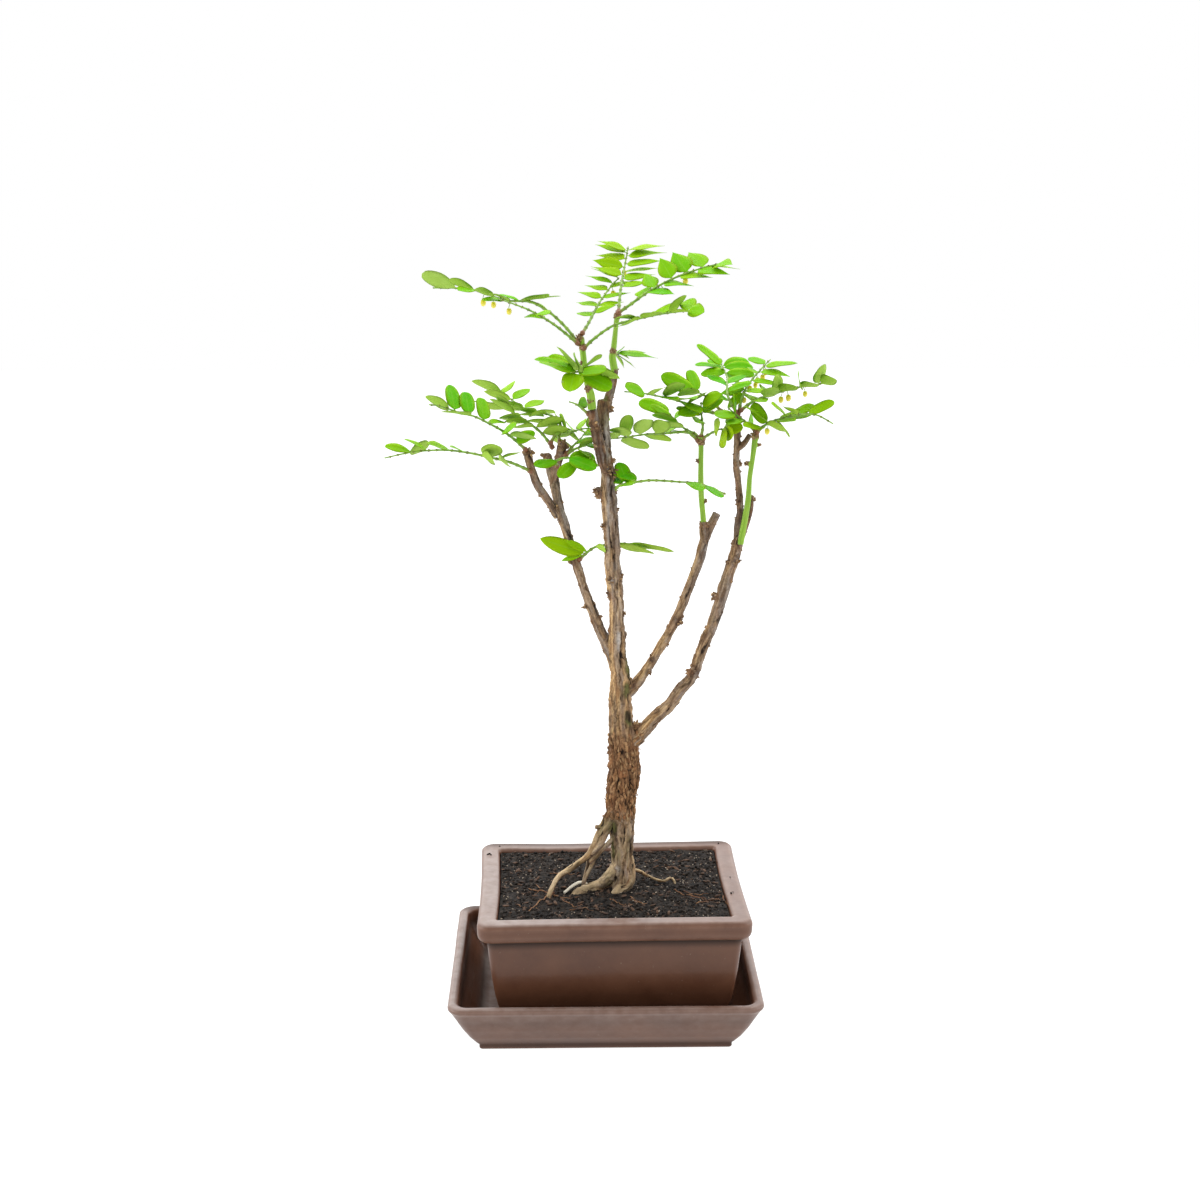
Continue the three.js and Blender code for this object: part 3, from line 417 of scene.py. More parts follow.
# The room of the two drain holes: upright cylinders
def drainPart():
    drain = potValues["drain"]
    spin = np.arange(drain["sides"]) / drain["sides"] * 2 * math.pi
    circle = np.stack([drain["radius"] * np.cos(spin), drain["radius"] * np.sin(spin), 0 * spin], -1)
    places = np.array([[1, 0, 0], [-1, 0, 0]]) * [drain["x"], 0, 0]
    heights = np.array([[0, 0, drain["bottom"]], [0, 0, drain["top"]]])
    return loftPart(circle + heights[:, None] + places[:, None, None], marks=plainMarks)


# A modifier's result kept as the piece's own mesh
def applyModifiers(piece):
    settled = piece.evaluated_get(bpy.context.evaluated_depsgraph_get())
    mesh = bpy.data.meshes.new_from_object(settled)
    piece.modifiers.clear()
    old = piece.data
    piece.data = mesh
    bpy.data.meshes.remove(old)


def booleanWith(piece, part, operation):
    tool = makeObject("tool", part)
    cut = piece.modifiers.new("cut", "BOOLEAN")
    cut.operation, cut.solver, cut.object = operation, "EXACT", tool
    applyModifiers(piece)
    bpy.data.objects.remove(tool)


# Stoneware pressed in a mould and fired with no glaze: matt to satin, clouded brown, fine pits, paler where
# fingers and shelves rub the edges. A pale film of dried water carries a painted sheen, and dirt with
# painted shade darkens the hollows.
def stonewareMaterial():
    values = stonewareValues
    m = newMaterial("unglazedStoneware")
    place = add(m, "TexCoord", out="Object")
    edge = add(m, "Attribute", attribute_name="edge", out="Fac")
    film = add(m, "Attribute", attribute_name="film", out="Fac")
    hollow = add(m, "Attribute", attribute_name="hollow", out="Fac")
    clouds = add(m, "TexNoise", {"Vector": place, "Scale": perMm / 24, "Detail": 5.0, "Roughness": 0.62})
    rub = add(m, "TexNoise", {"Vector": place, "Scale": perMm / 6, "Detail": 4.0})
    specks = add(m, "TexNoise", {"Vector": place, "Scale": perMm / 1.6, "Detail": 2.0})
    colour = add(m, "ValToRGB", {"Fac": clouds}, [(0.32, values["body"]), (0.72, values["bodyLight"])])
    worn = add(m, "Math", {0: edge, 1: rub}, operation="MULTIPLY")
    worn = add(m, "Math", {0: worn, 1: 1.3}, operation="MULTIPLY", use_clamp=True)
    speck = add(m, "ValToRGB", {"Fac": specks}, [(0.7, 0.0), (0.78, 0.35)])
    # The pale film: dried water and a painted sheen
    film = add(m, "Math", {0: film, 1: rub}, operation="MULTIPLY")
    film = add(m, "Math", {0: film, 1: 1.7}, operation="MULTIPLY", use_clamp=True)
    # Dirt and painted shade in the hollows
    dirt = add(m, "Math", {0: hollow, 1: 0.9}, operation="MULTIPLY")
    for amount, name in ((worn, "worn"), (speck, "dust"), (film, "film"), (dirt, "dirt")):
        colour = add(m, "MixRGB", {"Fac": amount, "Color1": colour, "Color2": values[name]})
    gloss = add(m, "MapRange", {"Value": clouds, "To Min": 0.28, "To Max": 0.44})
    gloss = add(m, "Math", {0: dirt, 1: 0.45, 2: gloss}, operation="MULTIPLY_ADD")
    grain = add(m, "TexNoise", {"Vector": place, "Scale": perMm / 0.9, "Detail": 3.0})
    swell = add(m, "TexNoise", {"Vector": place, "Scale": perMm / 9, "Detail": 2.0})
    fine = add(m, "Bump", {"Height": grain, "Strength": 0.12, "Distance": 0.0003})
    bump = add(m, "Bump", {"Height": swell, "Strength": 0.35, "Distance": 0.0006,
                           "Normal": fine})
    return finishMaterial(m, {"Base Color": colour, "Roughness": gloss,
                              "Normal": bump, "Specular IOR Level": 0.42})


clay = stonewareMaterial()
makePiece("stonewareTray", vesselPart(trayValues), [clay], ["drip_tray"])
pot = makePiece("stonewarePot", inPot(vesselPart(potValues)), [clay], ["pot"])
booleanWith(pot, inPot(footPart()), "UNION")
booleanWith(pot, inPot(drainPart()), "DIFFERENCE")
print("stoneware: tray and pot")


# Peat soil

# Profile rows are an inset and a height. Bump rows are a size, a height and a seed: hollows, clods, crumbs.
soilValues = {
    "profile": [[22.4, 17.3], [16.9, 25.3], [13.4, 45.3], [12, 66], [11.5, 75.3]],
    "firstInset": 11.7, "lastInset": 61, "ringStep": 0.7, "sidePoints": 150, "arcPoints": 6,
    "top": 75.6, "mound": 1.4, "moundReach": (66, 53), "wallDip": 0.5, "litterReach": (63, 50),
    "bumps": [[9, 0.5, 51], [3.1, 0.6, 52], [1.5, 0.45, 53], [0.8, 0.22, 54]],
    "crumbs": 2300, "chips": 320, "flecks": 640,
    "peat": "#060403", "peatLight": "#30261e", "chip": "#5c4434", "chipDark": "#261a13", "fleck": "#bcae9c",
    "rootlet": "#593828", "rootletPale": "#8a6647",
}

# Wood chips that show one by one on the soil: x, y, then length, width and thickness
showingChips = [
    [11, -21.6, 7, 3, 0.5], [-5, -32.5, 6, 1.8, 0.5], [0.5, -44, 7.5, 2.2, 0.5], [5.6, -34.5, 8, 2.6, 0.5],
    [17.5, -30.5, 6, 1.5, 0.4], [12, -36, 5, 2.2, 0.5], [-57, -5, 4.5, 1.2, 0.4], [-58, 21, 4, 1.6, 0.5],
    [-44, -29, 4.5, 1.1, 0.4], [69, 30, 3.6, 2.2, 0.8], [-14, -28, 5, 1.2, 0.4], [-2, -38, 4.4, 1.4, 0.5],
    [58, -27, 6, 0.9, 0.4], [62, -30, 5, 0.8, 0.4], [28, -38, 5.5, 1.6, 0.4], [-20, -24, 6, 1, 0.4],
]
# Thin roots lying on the soil: x and y points, then the radius
rootlets = [
    ([[-28, -14], [-33, -22], [-39, -33], [-43, -41]], 0.5),
    ([[-43, -8], [-36, -13], [-31, -16], [-24, -22]], 0.42), ([[-39, -2], [-37, -9], [-40, -17]], 0.32),
    ([[-29, -19], [-22, -23], [-15, -22]], 0.36), ([[-24, -27], [-17, -33], [-12, -31]], 0.34),
    ([[-31, 12], [-25, 15], [-20, 12], [-14, 14]], 0.3),
    ([[41, -13], [49, -20], [57, -24], [64, -24]], 0.36), ([[52, -31], [60, -26], [66, -29]], 0.34),
    ([[68, -20], [67, -27], [70, -33]], 0.4), ([[46, -14], [52, -18], [62, -16]], 0.3),
    ([[14, -24], [19, -30], [24, -31]], 0.34), ([[48.5, -20.5], [57.5, -26.5], [63, -23]], 0.34),
    ([[-50, -30], [-45, -35], [-38, -36]], 0.3), ([[30, 22], [36, 25], [44, 21]], 0.25),
    ([[-20, -40], [-12, -38], [-6, -41]], 0.28), ([[4, -26], [9, -31], [16, -33]], 0.32),
]
# Crumbs that fell on the pot's rim: x, y and size
rimCrumbs = [
    [-67.7, 42.5, 1.5], [-66.5, 41.2, 0.9], [-68.6, 41.6, 0.8], [-61.8, 54.8, 0.8], [70.8, 57.5, 0.9],
    [72, -19.9, 1.1], [73.2, -18.6, 0.7], [73.4, 3.8, 0.6],
]


# Height of the soil: a low mound to the middle, and smooth noise of each bump row's size and height on it
def soilHeight(x, y):
    values = soilValues
    flat = np.stack([x, y, np.zeros_like(x)], -1)
    reachX, reachY = values["moundReach"]
    height = values["top"] + values["mound"] * np.clip(1 - np.hypot(x / reachX, y / reachY), 0, 1)
    for size, tall, seed in values["bumps"]:
        height = height + softNoise(flat / size, seed) * tall
    return height


# Rings up the pot's inner wall and in over the top, where the soil's height is worked out at each point
def soilPart():
    values = soilValues
    insets = np.arange(values["firstInset"], values["lastInset"], values["ringStep"])
    profile = np.array(values["profile"])
    allInsets = np.concatenate([profile[:, 0], insets])
    heights = np.concatenate([profile[:, 1], np.full(len(insets), values["top"])])
    rings = rectangleRings(potValues, allInsets, heights, values["sidePoints"], values["arcPoints"])
    rings = handMade(rings, potRim, potValues["seed"])
    top = rings[len(profile):]
    top[..., 2] = soilHeight(top[..., 0], top[..., 1])
    top[0, :, 2] -= values["wallDip"]
    return loftPart(rings)


def onSoil(x, y, lift):
    return np.stack([x, y, soilHeight(x, y) + lift], -1)


# Rows that start with an x and a y of the whole part, in the turned and moved pot's own frame
def toPot(rows):
    rows = np.array(rows, float)
    turn = math.radians(potValues["turn"])
    x, y = rows[:, 0] - potValues["shift"], rows[:, 1].copy()
    rows[:, 0] = x * math.cos(turn) + y * math.sin(turn)
    rows[:, 1] = y * math.cos(turn) - x * math.sin(turn)
    return rows


# A thin root: its path wanders a little, lies on the soil with low humps, and thins out to its end
def rootletPart(points, radius):
    path, _, _, along = smoothPath(np.column_stack([points, 0 * points[:, 0]]), 0.8)
    path = path + np.stack([softNoise(path / 5, 61), softNoise(path / 5, 62), 0 * along], -1) * 1.4
    humps = 0.5 * np.abs(softNoise(path / 4, 63))
    path[:, 2] = soilHeight(path[:, 0], path[:, 1]) + radius * 0.6 + humps
    thin = radius * (1 - 0.45 * along / along[-1])
    return loftPart(tubeRings(path, unit(np.gradient(path, axis=0)), thin, 6, [0, 0, 1]), 3)


# Litter strewn at random inside the pot's rim, then the chips, the rim's crumbs and the thin roots as listed
def litterPart():
    values = soilValues
    reachX, reachY = values["litterReach"]
    parts = []
    for material, count, sizes, stretch in (
        (0, values["crumbs"], (0.35, 1.15), (1, 0.8, 0.7)),
        (1, values["chips"], (0.6, 2.2), (1, 0.45, 0.25)),
        (2, values["flecks"], (0.25, 0.72), (1, 0.7, 0.5)),
    ):
        x, y = random.uniform(-1, 1, count) * reachX, random.uniform(-1, 1, count) * reachY
        size = random.uniform(*sizes, count) ** 1.3
        axes = lyingAxes(size[:, None] * stretch, 0.5)
        parts.append(loftPart(lumpRings(onSoil(x, y, 0.15), axes, 0.3), material))
    chips = toPot(showingChips)
    axes = lyingAxes(chips[:, 2:] / 2, 0.25)
    parts.append(loftPart(lumpRings(onSoil(chips[:, 0], chips[:, 1], 0.5), axes, 0.2, 5, 8), 1))
    rim = toPot(rimCrumbs)
    places = np.stack([rim[:, 0], rim[:, 1], np.full(len(rim), potRim + 0.05)], -1)
    parts.append(loftPart(lumpRings(places, lyingAxes(rim[:, 2:] * [0.7, 0.55, 0.4]), 0.35), 0))
    parts += [rootletPart(toPot(points), radius) for points, radius in rootlets]
    return joinParts(parts)


# Damp peat: near black and matt, browner in clumps of 2 mm
def peatMaterial():
    values = soilValues
    m = newMaterial("dampPeat")
    place = add(m, "TexCoord", out="Object")
    clumps = add(m, "TexNoise", {"Vector": place, "Scale": perMm / 1.8, "Detail": 5.0, "Roughness": 0.7})
    colour = add(m, "ValToRGB", {"Fac": clumps}, [(0.43, values["peat"]), (0.64, values["peatLight"])])
    grit = add(m, "TexNoise", {"Vector": place, "Scale": perMm / 0.7, "Detail": 3.0})
    bump = add(m, "Bump", {"Height": grit, "Strength": 0.9, "Distance": 0.0005})
    return finishMaterial(m, {"Base Color": colour, "Roughness": 0.88,
                              "Normal": bump, "Specular IOR Level": 0.3})


# Dry woody stuff in two tones: shredded bark, straw-pale splinters, thin roots or bud scales
def litterMaterial(name, dark, light):
    m = newMaterial(name)
    place = add(m, "TexCoord", out="Object")
    tone = add(m, "TexNoise", {"Vector": place, "Scale": perMm / 3, "Detail": 3.0})
    colour = add(m, "ValToRGB", {"Fac": tone}, [(0.35, dark), (0.65, light)])
    bump = add(m, "Bump", {"Height": tone, "Strength": 0.4, "Distance": 0.0004})
    return finishMaterial(m, {"Base Color": colour, "Roughness": 0.8,
                              "Normal": bump, "Specular IOR Level": 0.3})


peat = peatMaterial()
litter = [
    litterMaterial("barkChip", soilValues["chipDark"], soilValues["chip"]),
    litterMaterial("paleSplinter", soilValues["chip"], soilValues["fleck"]),
    litterMaterial("rootletBark", soilValues["rootlet"], soilValues["rootletPale"]),
]
makePiece("peatBed", inPot(soilPart()), [peat], ["soil"])
makePiece("peatLitter", inPot(litterPart()), [peat, *litter], [])
print("soil: bed, crumbs, chips and rootlets")


# Wood

# Rows are x, y, z and the radius
woodPaths = {
    "trunk": [
        [9, -10, 58, 5], [10, -8.5, 72, 6.4], [10.5, -6.5, 86, 6], [11, -4, 104, 6.3], [10, -1, 117.5, 8.6],
        [10, 0, 127.5, 8.3], [11.5, 0, 140, 8.4], [11.5, 0, 155, 8.1], [10, 0, 170, 6.7], [9, 0, 185, 5.9],
        [9, 0, 200.5, 5.3], [7.5, 0, 215, 4.7], [7.5, 0, 230, 4.5], [7, 0, 244.5, 4.2], [5, 0, 267, 4],
        [3.5, 0, 293, 4], [1.5, 0, 318, 3.7], [0.5, 0, 334, 3.1], [-0.5, 0, 350, 3.3], [0, 0, 356, 3.3],
    ],
    "leftBranch": [
        [7, 0, 202, 3], [5, 1, 210, 3], [2.5, 2, 216.5, 2.9], [-3, 4, 229, 2.8], [-9.5, 7, 246, 2.7],
        [-14.5, 10, 261, 2.7], [-21.5, 14, 284, 2.6], [-24.5, 16, 293.5, 2.5], [-27, 18, 306, 2.5],
        [-28.5, 19, 312.5, 2.4], [-31.5, 20, 323, 2.2],
    ],
    "leftFork": [[-28, 18, 308, 2.2], [-26, 17, 316.5, 2.2], [-24, 16, 323.5, 2.2], [-22.5, 15, 330, 2.4]],
    "leftShoot": [
        [-25.5, 15, 289, 2.2], [-29.5, 12, 296.5, 2.3], [-35.5, 9, 306, 2.2], [-39, 6, 315.5, 2.1],
        [-41.5, 4, 325, 2.2],
    ],
    "middleBranch": [
        [9, 0, 181, 3], [12.5, 1, 189, 2.9], [17, 2, 194, 2.8], [25.5, 4, 205, 2.7], [33, 6, 217, 2.7],
        [40, 8, 229, 2.7], [49, 11, 251, 2.5], [53.5, 12, 264, 2.5], [57, 13, 277, 2.4],
        [63.5, 15, 290.5, 2.1],
    ],
    "middleKnuckle": [[56.5, 12.5, 275, 2.2], [56, 12, 280, 2.3], [55.8, 12, 286, 2.1]],
    "rightBranch": [
        [11, 0, 154, 4], [16, -1, 161.5, 3.7], [20.5, -1, 166, 3.5], [28.5, -2, 176, 3.4],
        [36.5, -2, 183.5, 3.4], [43.5, -2, 193.5, 3.3], [50, -2, 201.5, 3.2], [56, 0, 218.5, 3.1],
        [60.5, 0, 229.5, 2.9], [66, 1, 247, 2.9], [69.5, 2, 259.5, 3.1], [72.5, 2, 269, 3.1],
        [75, 3, 279, 2.6],
    ],
    "rightFork": [
        [74, 3, 272, 2.1], [74.5, 4, 287, 1.9], [75.5, 4, 294.5, 1.8], [74.5, 5, 308.5, 1.8],
        [73, 5, 320, 1.9], [73, 5, 330, 1.8], [73.5, 5, 338, 1.9], [72.5, 5.5, 346, 2.2],
    ],
    "rightForkTwig": [[72.5, 5.5, 343, 1.6], [68.5, 6.2, 347, 1.6], [64, 6.8, 348.5, 1.5]],
    "rightSideTwig": [[73, 5, 328, 1.3], [76.5, 4.5, 331, 1.4], [80, 3.5, 336.5, 1.2]],
    "rightShootBark": [[75, 3, 277, 2], [78.5, 2.6, 286, 1.5], [81, 2.4, 294, 1.3], [81.5, 2.2, 301, 1.1]],
    "crownLeft": [
        [1, -3, 318, 2], [-1, -5, 323, 2.3], [-2, -6, 329, 2.7], [-4.5, -6, 341, 2.7],
        [-6.5, -6, 351.5, 2.5],
    ],
    "crownRight": [
        [0.5, 0.5, 350, 2.2], [2, 2, 354, 2.2], [4, 2, 361.5, 2], [5, 2, 366, 1.9], [6, 2, 372, 1.8],
    ],
}
rootPaths = {
    "leftRoot": [
        [9, -6, 90, 4.2], [4, -7.5, 83, 4], [-2, -8.5, 78.5, 3.4], [-9.5, -12, 76.8, 3.2],
        [-16, -16, 75.6, 2.7], [-21, -19, 70, 2],
    ],
    "rightLobe": [
        [12.5, -6, 92, 4], [14, -8.5, 83, 3.6], [11, -12, 78, 3], [6.5, -16, 75.5, 2.6],
        [3.5, -18.5, 70, 2],
    ],
    "strand": [
        [5, -4, 122, 2], [1, -6, 117, 2], [-3.5, -7, 107.5, 1.9], [-8, -8, 98, 1.9], [-15, -8, 91.5, 1.6],
        [-21.5, -8.5, 87, 1.6], [-27, -13, 84, 1.4], [-31.5, -21, 77, 1.3], [-33, -24, 72, 1],
    ],
    "innerStrand": [[5, -5, 119, 1.7], [1.5, -7.5, 110, 1.5], [-2.5, -9, 102.5, 1.4], [-7, -8.5, 97.5, 1.5]],
    "strandFork": [[-8, -8, 97, 1.4], [-9, -4, 88, 1.3], [-11, 1, 78, 1.4], [-11.5, 2, 72, 1.1]],
    "strandStub": [[-0.5, -7, 113, 1.1], [-5, -8, 113.6, 1.1]],
    "paleRoot": [[-9, -8, 78, 0.7], [-12, -7, 79.8, 0.8], [-17, -10, 79.3, 0.8], [-23, -15.5, 76.6, 0.7]],
    "innerRoot": [
        [5, -5, 119, 1.3], [3.2, -8, 116.5, 1.3], [-1, -8.6, 110, 1.3], [-3.2, -8.5, 102, 1.2],
        [-5.6, -8, 94.3, 1.2], [-8, -8, 88, 1.1], [-11, -8, 82, 1.1], [-12.5, -7, 74, 1],
    ],
    "crossRoot": [
        [7, -4, 107, 1.3], [1.9, -7, 102.5, 1.2], [-0.9, -8, 100, 1.2], [-4.3, -8.4, 96, 1.3],
        [-8, -8.4, 92, 1.2],
    ],
    "thinRoot": [
        [13, -6, 86, 0.9], [19, -4, 85.4, 0.9], [26.5, 2, 79, 0.8], [34, -2, 77.8, 0.8],
        [39.5, 1, 78.4, 0.8], [42.5, -5, 73.5, 0.8],
    ],
}
# Swollen nodes, cut ends and bud scars: x, y, z and radius
knuckles = [
    [-28, 14.5, 294, 3.2], [-32, 19.5, 322, 2.6], [-22.5, 15, 329, 3.2], [-41, 4, 327, 3],
    [-17, 10.5, 264, 2.9], [5, -2, 316, 3.4], [-2.5, 0.5, 304, 2.6], [6, 0.5, 305.5, 1.8],
    [-3, -6, 333, 3.1], [-5.5, -6.5, 344, 3.1], [2.5, 0.5, 352, 3.2], [5.9, 2, 371.8, 2.3],
    [56, 12, 284, 2.9], [62, 0.5, 246, 2.5], [79, 2.5, 291, 2.2], [81.8, 2.2, 301, 2], [73.5, 5, 320, 2.5],
    [74.5, 4.5, 299, 2.2], [73, 2.5, 266, 3.5], [74, 3, 276, 3.2], [15, -0.5, 196, 3.2],
    [50, -2, 204, 3.6], [72.5, 5.5, 346, 2.8], [65, 6.8, 348.5, 2], [42, 8, 230.5, 2.9], [3, 1, 280, 3.4],
    [8.5, 0, 258, 3], [4, -1, 248, 3], [1, -3, 320, 3], [-4.4, -1, 306.7, 2], [6.8, -0.5, 296, 1.7],
    [6.8, -0.5, 275.2, 1.8], [4, -3.6, 256.5, 2], [5, -1.5, 323.3, 1.6], [2.6, -3.2, 317, 2.2],
    [-0.6, -3, 287.1, 1.6], [-10.9, 5.5, 239.2, 1.6], [-4.2, 4, 229.3, 1.5], [-1.9, 4, 233.4, 1.5],
    [26.6, 2, 209.2, 1.7], [25.5, 1, 202.2, 1.8], [18.4, -1, 171.8, 2.9],
]
# Colour of each length of wood at its start and its end: how tan (0 is grey), how red-brown, how mossy
woodTones = {
    "leftBranch": ([0.5, 0.0, 0.5], [0.15, 0.05, 0.3]), "leftFork": ([0.3, 0.45, 0.1], [0.3, 0.7, 0.0]),
    "leftShoot": ([0.5, 0.45, 0.1], [0.3, 0.65, 0.0]),
    "middleBranch": ([0.85, 0.15, 0.1], [0.3, 0.2, 0.1]),
    "middleKnuckle": ([0.4, 0.5, 0.0], [0.3, 0.7, 0.0]),
    "rightBranch": ([0.8, 0.05, 0.25], [0.4, 0.3, 0.0]), "rightFork": ([0.3, 0.5, 0.0], [0.2, 0.65, 0.0]),
    "rightForkTwig": ([0.1, 0.8, 0.0], [0.1, 0.8, 0.0]),
    "rightSideTwig": ([0.2, 0.8, 0.1], [0.2, 0.7, 0.2]),
    "rightShootBark": ([0.4, 0.7, 0.1], [0.4, 0.7, 0.1]), "crownLeft": ([0.4, 0.8, 0.0], [0.3, 0.9, 0.2]),
    "crownRight": ([0.4, 0.75, 0.0], [0.4, 0.8, 0.2]), "leftRoot": ([0.6, 0.0, 0.2], [0.45, 0.0, 0.0]),
    "rightLobe": ([0.6, 0.1, 0.1], [0.6, 0.1, 0.0]), "strand": ([0.7, 0.0, 0.75], [0.9, 0.1, 0.0]),
    "innerStrand": ([0.6, 0.0, 0.7], [0.7, 0.0, 0.3]), "strandFork": ([0.6, 0.1, 0.4], [0.5, 0.2, 0.0]),
    "innerRoot": ([0.4, 0.1, 0.6], [0.5, 0.2, 0.1]), "crossRoot": ([0.5, 0.3, 0.3], [0.6, 0.2, 0.1]),
    "strandStub": ([0.5, 0.1, 1.0], [0.6, 0.3, 0.6]), "paleRoot": ([0.0, 0.0, 0.0], [0.0, 0.0, 0.0]),
    "thinRoot": ([1.0, 0.15, 0.0], [1.0, 0.3, 0.0]),
}
# The trunk's own tones by height: z, how tan, how red-brown, how mossy, how flaky
trunkTones = [
    [60, 0.55, 0.1, 0.1, 0.25], [92, 0.5, 0.1, 0.2, 0.3], [118, 0.55, 0.15, 0.2, 0.4],
    [125, 0.8, 0.4, 0.1, 1], [150, 0.85, 0.45, 0.1, 1], [163, 0.8, 0.3, 0.35, 0.8],
    [172, 0.9, 0.1, 0.4, 0.45], [205, 1, 0.05, 0.3, 0.3], [235, 0.85, 0.1, 0.1, 0.3],
    [262, 0.6, 0.2, 0.05, 0.3], [290, 0.35, 0.15, 0, 0.2], [335, 0.25, 0.2, 0.1, 0.2],
    [349, 0.2, 0.2, 0.9, 0.6], [357, 0.1, 0.3, 1, 0.8],
]
acrossGuide = [1, 0.2, 0]    # which way a ring's first point looks
woodValues = {
    "sampleStep": 1.0, "tubeStep": 1.2, "tubeSides": 16, "voxel": 0.5, "smoothTurns": 1, "grow": 0.1,
    "patternShift": 37, "branchFlaky": 0.35, "nodeStep": 9.5, "nodeJitter": 1.8, "nodeFloor": 208,
    "plateDepth": 0.85, "streakDepth": 0.6, "peelDepth": 0.38, "knuckleDepth": 0.55, "rootDepth": 0.3,
    "pitDepth": 1.1, "lump": 0.5, "rootTop": 118, "branchFoot": 160, "mossMiddle": 190, "soilLine": 82.0,
    "scales": 15, "scaleSizes": ([0.22, 0.13, 0.28], [0.46, 0.24, 0.56]),
    "flakes": 620, "flakeSpan": (119, 168), "flakeSizes": ([0.4, 0.12, 0.8], [1.1, 0.26, 2.6]),
    # The mossy colour also paints shade on the right of the trunk, the crack colour paints shade in pits and
    # under the roots, and the cream colour paints light on the tops of the roots
    "grey": "#978a80", "greyDark": "#574c45", "tan": "#deba87", "tanDark": "#9a764f",
    "brown": "#a67a50", "brownDark": "#5e3f26", "red": "#8a6547", "redDark": "#4c3324",
    "mossAndShade": "#69663a", "mossAndShadeDark": "#3f3520", "cream": "#cdb48c", "silver": "#b9b1a9", "orange": "#96623e",
    "crack": "#22160e", "white": "#dcd5c4",
}
# Sizes of the bark's patterns in millimetres, twice across the grain and once along it
barkSizes = {
    "plate": [2.4, 2.4, 11], "streak": [1.2, 1.2, 13], "fineStreak": [0.7, 0.7, 6], "peel": [2.4, 2.4, 12],
    "finePeel": [1, 1, 4], "crackFade": [4, 4, 9], "rootRelief": [1.1, 1.1, 3.5], "strip": [2.2, 2.2, 30],
    "blotch": [2.4, 2.4, 8], "redness": [2, 2, 7], "cream": [1.5, 1.5, 5], "moss": [5, 5, 8],
}
# Marks on the bark that show one by one: x, y, z, half length along the grain, half width, kind
barkSpots = [
    [8.8, -8, 148.8, 6, 3, "orange"], [7.4, -8, 127.5, 6, 2.6, "orange"],
    [17.6, -9, 100, 16, 1.3, "orange"], [8, -8, 138, 7, 0.9, "pit"], [14.7, -8, 138.6, 8, 0.8, "pit"],
    [18.2, -7, 174, 3, 1.6, "pit"], [7.4, -9, 83, 3.4, 1.6, "pit"], [12.8, -7, 193.5, 5, 2.6, "moss"],
    [13.9, -6, 205, 6, 2.6, "moss"], [16.8, -6, 188, 7, 2.2, "moss"], [13.5, -6, 178, 5, 2.2, "moss"],
    [5.5, -7, 100, 9, 1.2, "moss"], [8.8, -9, 84.5, 3.5, 1.6, "pit"], [15.3, -8, 99, 12, 1.2, "pit"],
    [17.4, -7, 166.5, 4, 1.1, "silver"], [8.6, -9, 89, 2.4, 1.8, "silver"], [14, -7, 104, 8, 1.6, "moss"],
    [6, -7, 112, 7, 1.8, "moss"], [4.6, -6, 250, 10, 1, "silver"], [2.2, -5, 292, 22, 1.1, "silver"],
    [1.5, -5, 340, 8, 1.4, "silver"], [6, -5, 268, 8, 1, "pit"], [8, -5, 223, 7, 1.1, "silver"],
    [9.4, -5, 214, 7, 0.7, "pit"], [16.8, -6, 108, 9, 0.7, "pit"], [12.6, -7.5, 128, 5, 0.7, "pit"],
    [10.4, -8, 158, 4, 0.8, "pit"], [16, -6.5, 152, 5, 0.8, "pit"],
]


# Every path cut into short steps, with what the bark needs to know at each step
def sampledPaths(paths):
    values = woodValues
    rows = []
    for name, path in paths.items():
        centres, tangents, radii, along = smoothPath(path, values["sampleStep"])
        if name == "trunk":
            table = np.array(trunkTones)
            tones = np.stack([np.interp(centres[:, 2], table[:, 0], table[:, k]) for k in (1, 2, 3, 4)], -1)
        else:
            start, end = (np.array(t + [values["branchFlaky"]]) for t in woodTones[name])
            tones = start + (end - start) * (along / along[-1])[:, None]
        white = np.full(len(centres), float(name == "paleRoot"))
        first = unit(acrossGuide - tangents * (tangents @ acrossGuide)[:, None])
        shifted = along + values["patternShift"] * len(rows)
        rows.append([centres, tangents, first, radii, shifted, tones, white])
    return [np.concatenate([row[k] for row in rows]) for k in range(7)]


# Small nodes all along a branch, on one side and then the other
def branchNodes(paths):
    values = woodValues
    rows = []
    for name, path in paths.items():
        centres, tangents, radii, along = smoothPath(path, values["sampleStep"])
        at = np.arange(random.uniform(4, 8), along[-1] - 3, values["nodeStep"])
        at = at + random.uniform(-values["nodeJitter"], values["nodeJitter"], len(at))
        k = np.searchsorted(along, at[(at > 0) & (at < along[-1])])
        k = k[centres[k, 2] > values["nodeFloor"]] if name == "trunk" else k
        side = np.where(np.arange(len(k)) % 2, 1, -1)[:, None]
        out = unit(np.cross(tangents[k], [0, 1, 0]) * side + random.normal(0, 0.35, (len(k), 3)))
        size = 0.34 * radii[k] + 0.42
        rows.append(np.column_stack([centres[k] + out * radii[k, None] * 0.8, size]))
    return np.vstack(rows)


# Core of each knuckle, drawn out so that it starts at the middle of the wood
def knuckleCores(bumps, centres, radii):
    spots, size = bumps[:, :3], bumps[:, 3:]
    reach = (spots - centres[nearestStep(spots, centres, radii)]) / 2
    way = unit(reach + [0, 0, 0.01])
    side = unit(np.cross(way, [0.2, 0.9, 0.3]))
    length = np.linalg.norm(reach, axis=1, keepdims=True) + 0.7 * size
    axes = np.stack([side * 0.78 * size, np.cross(way, side) * 0.78 * size, way * length], 1)
    return loftPart(lumpRings(spots - reach, axes, 0.12, 8, 12))


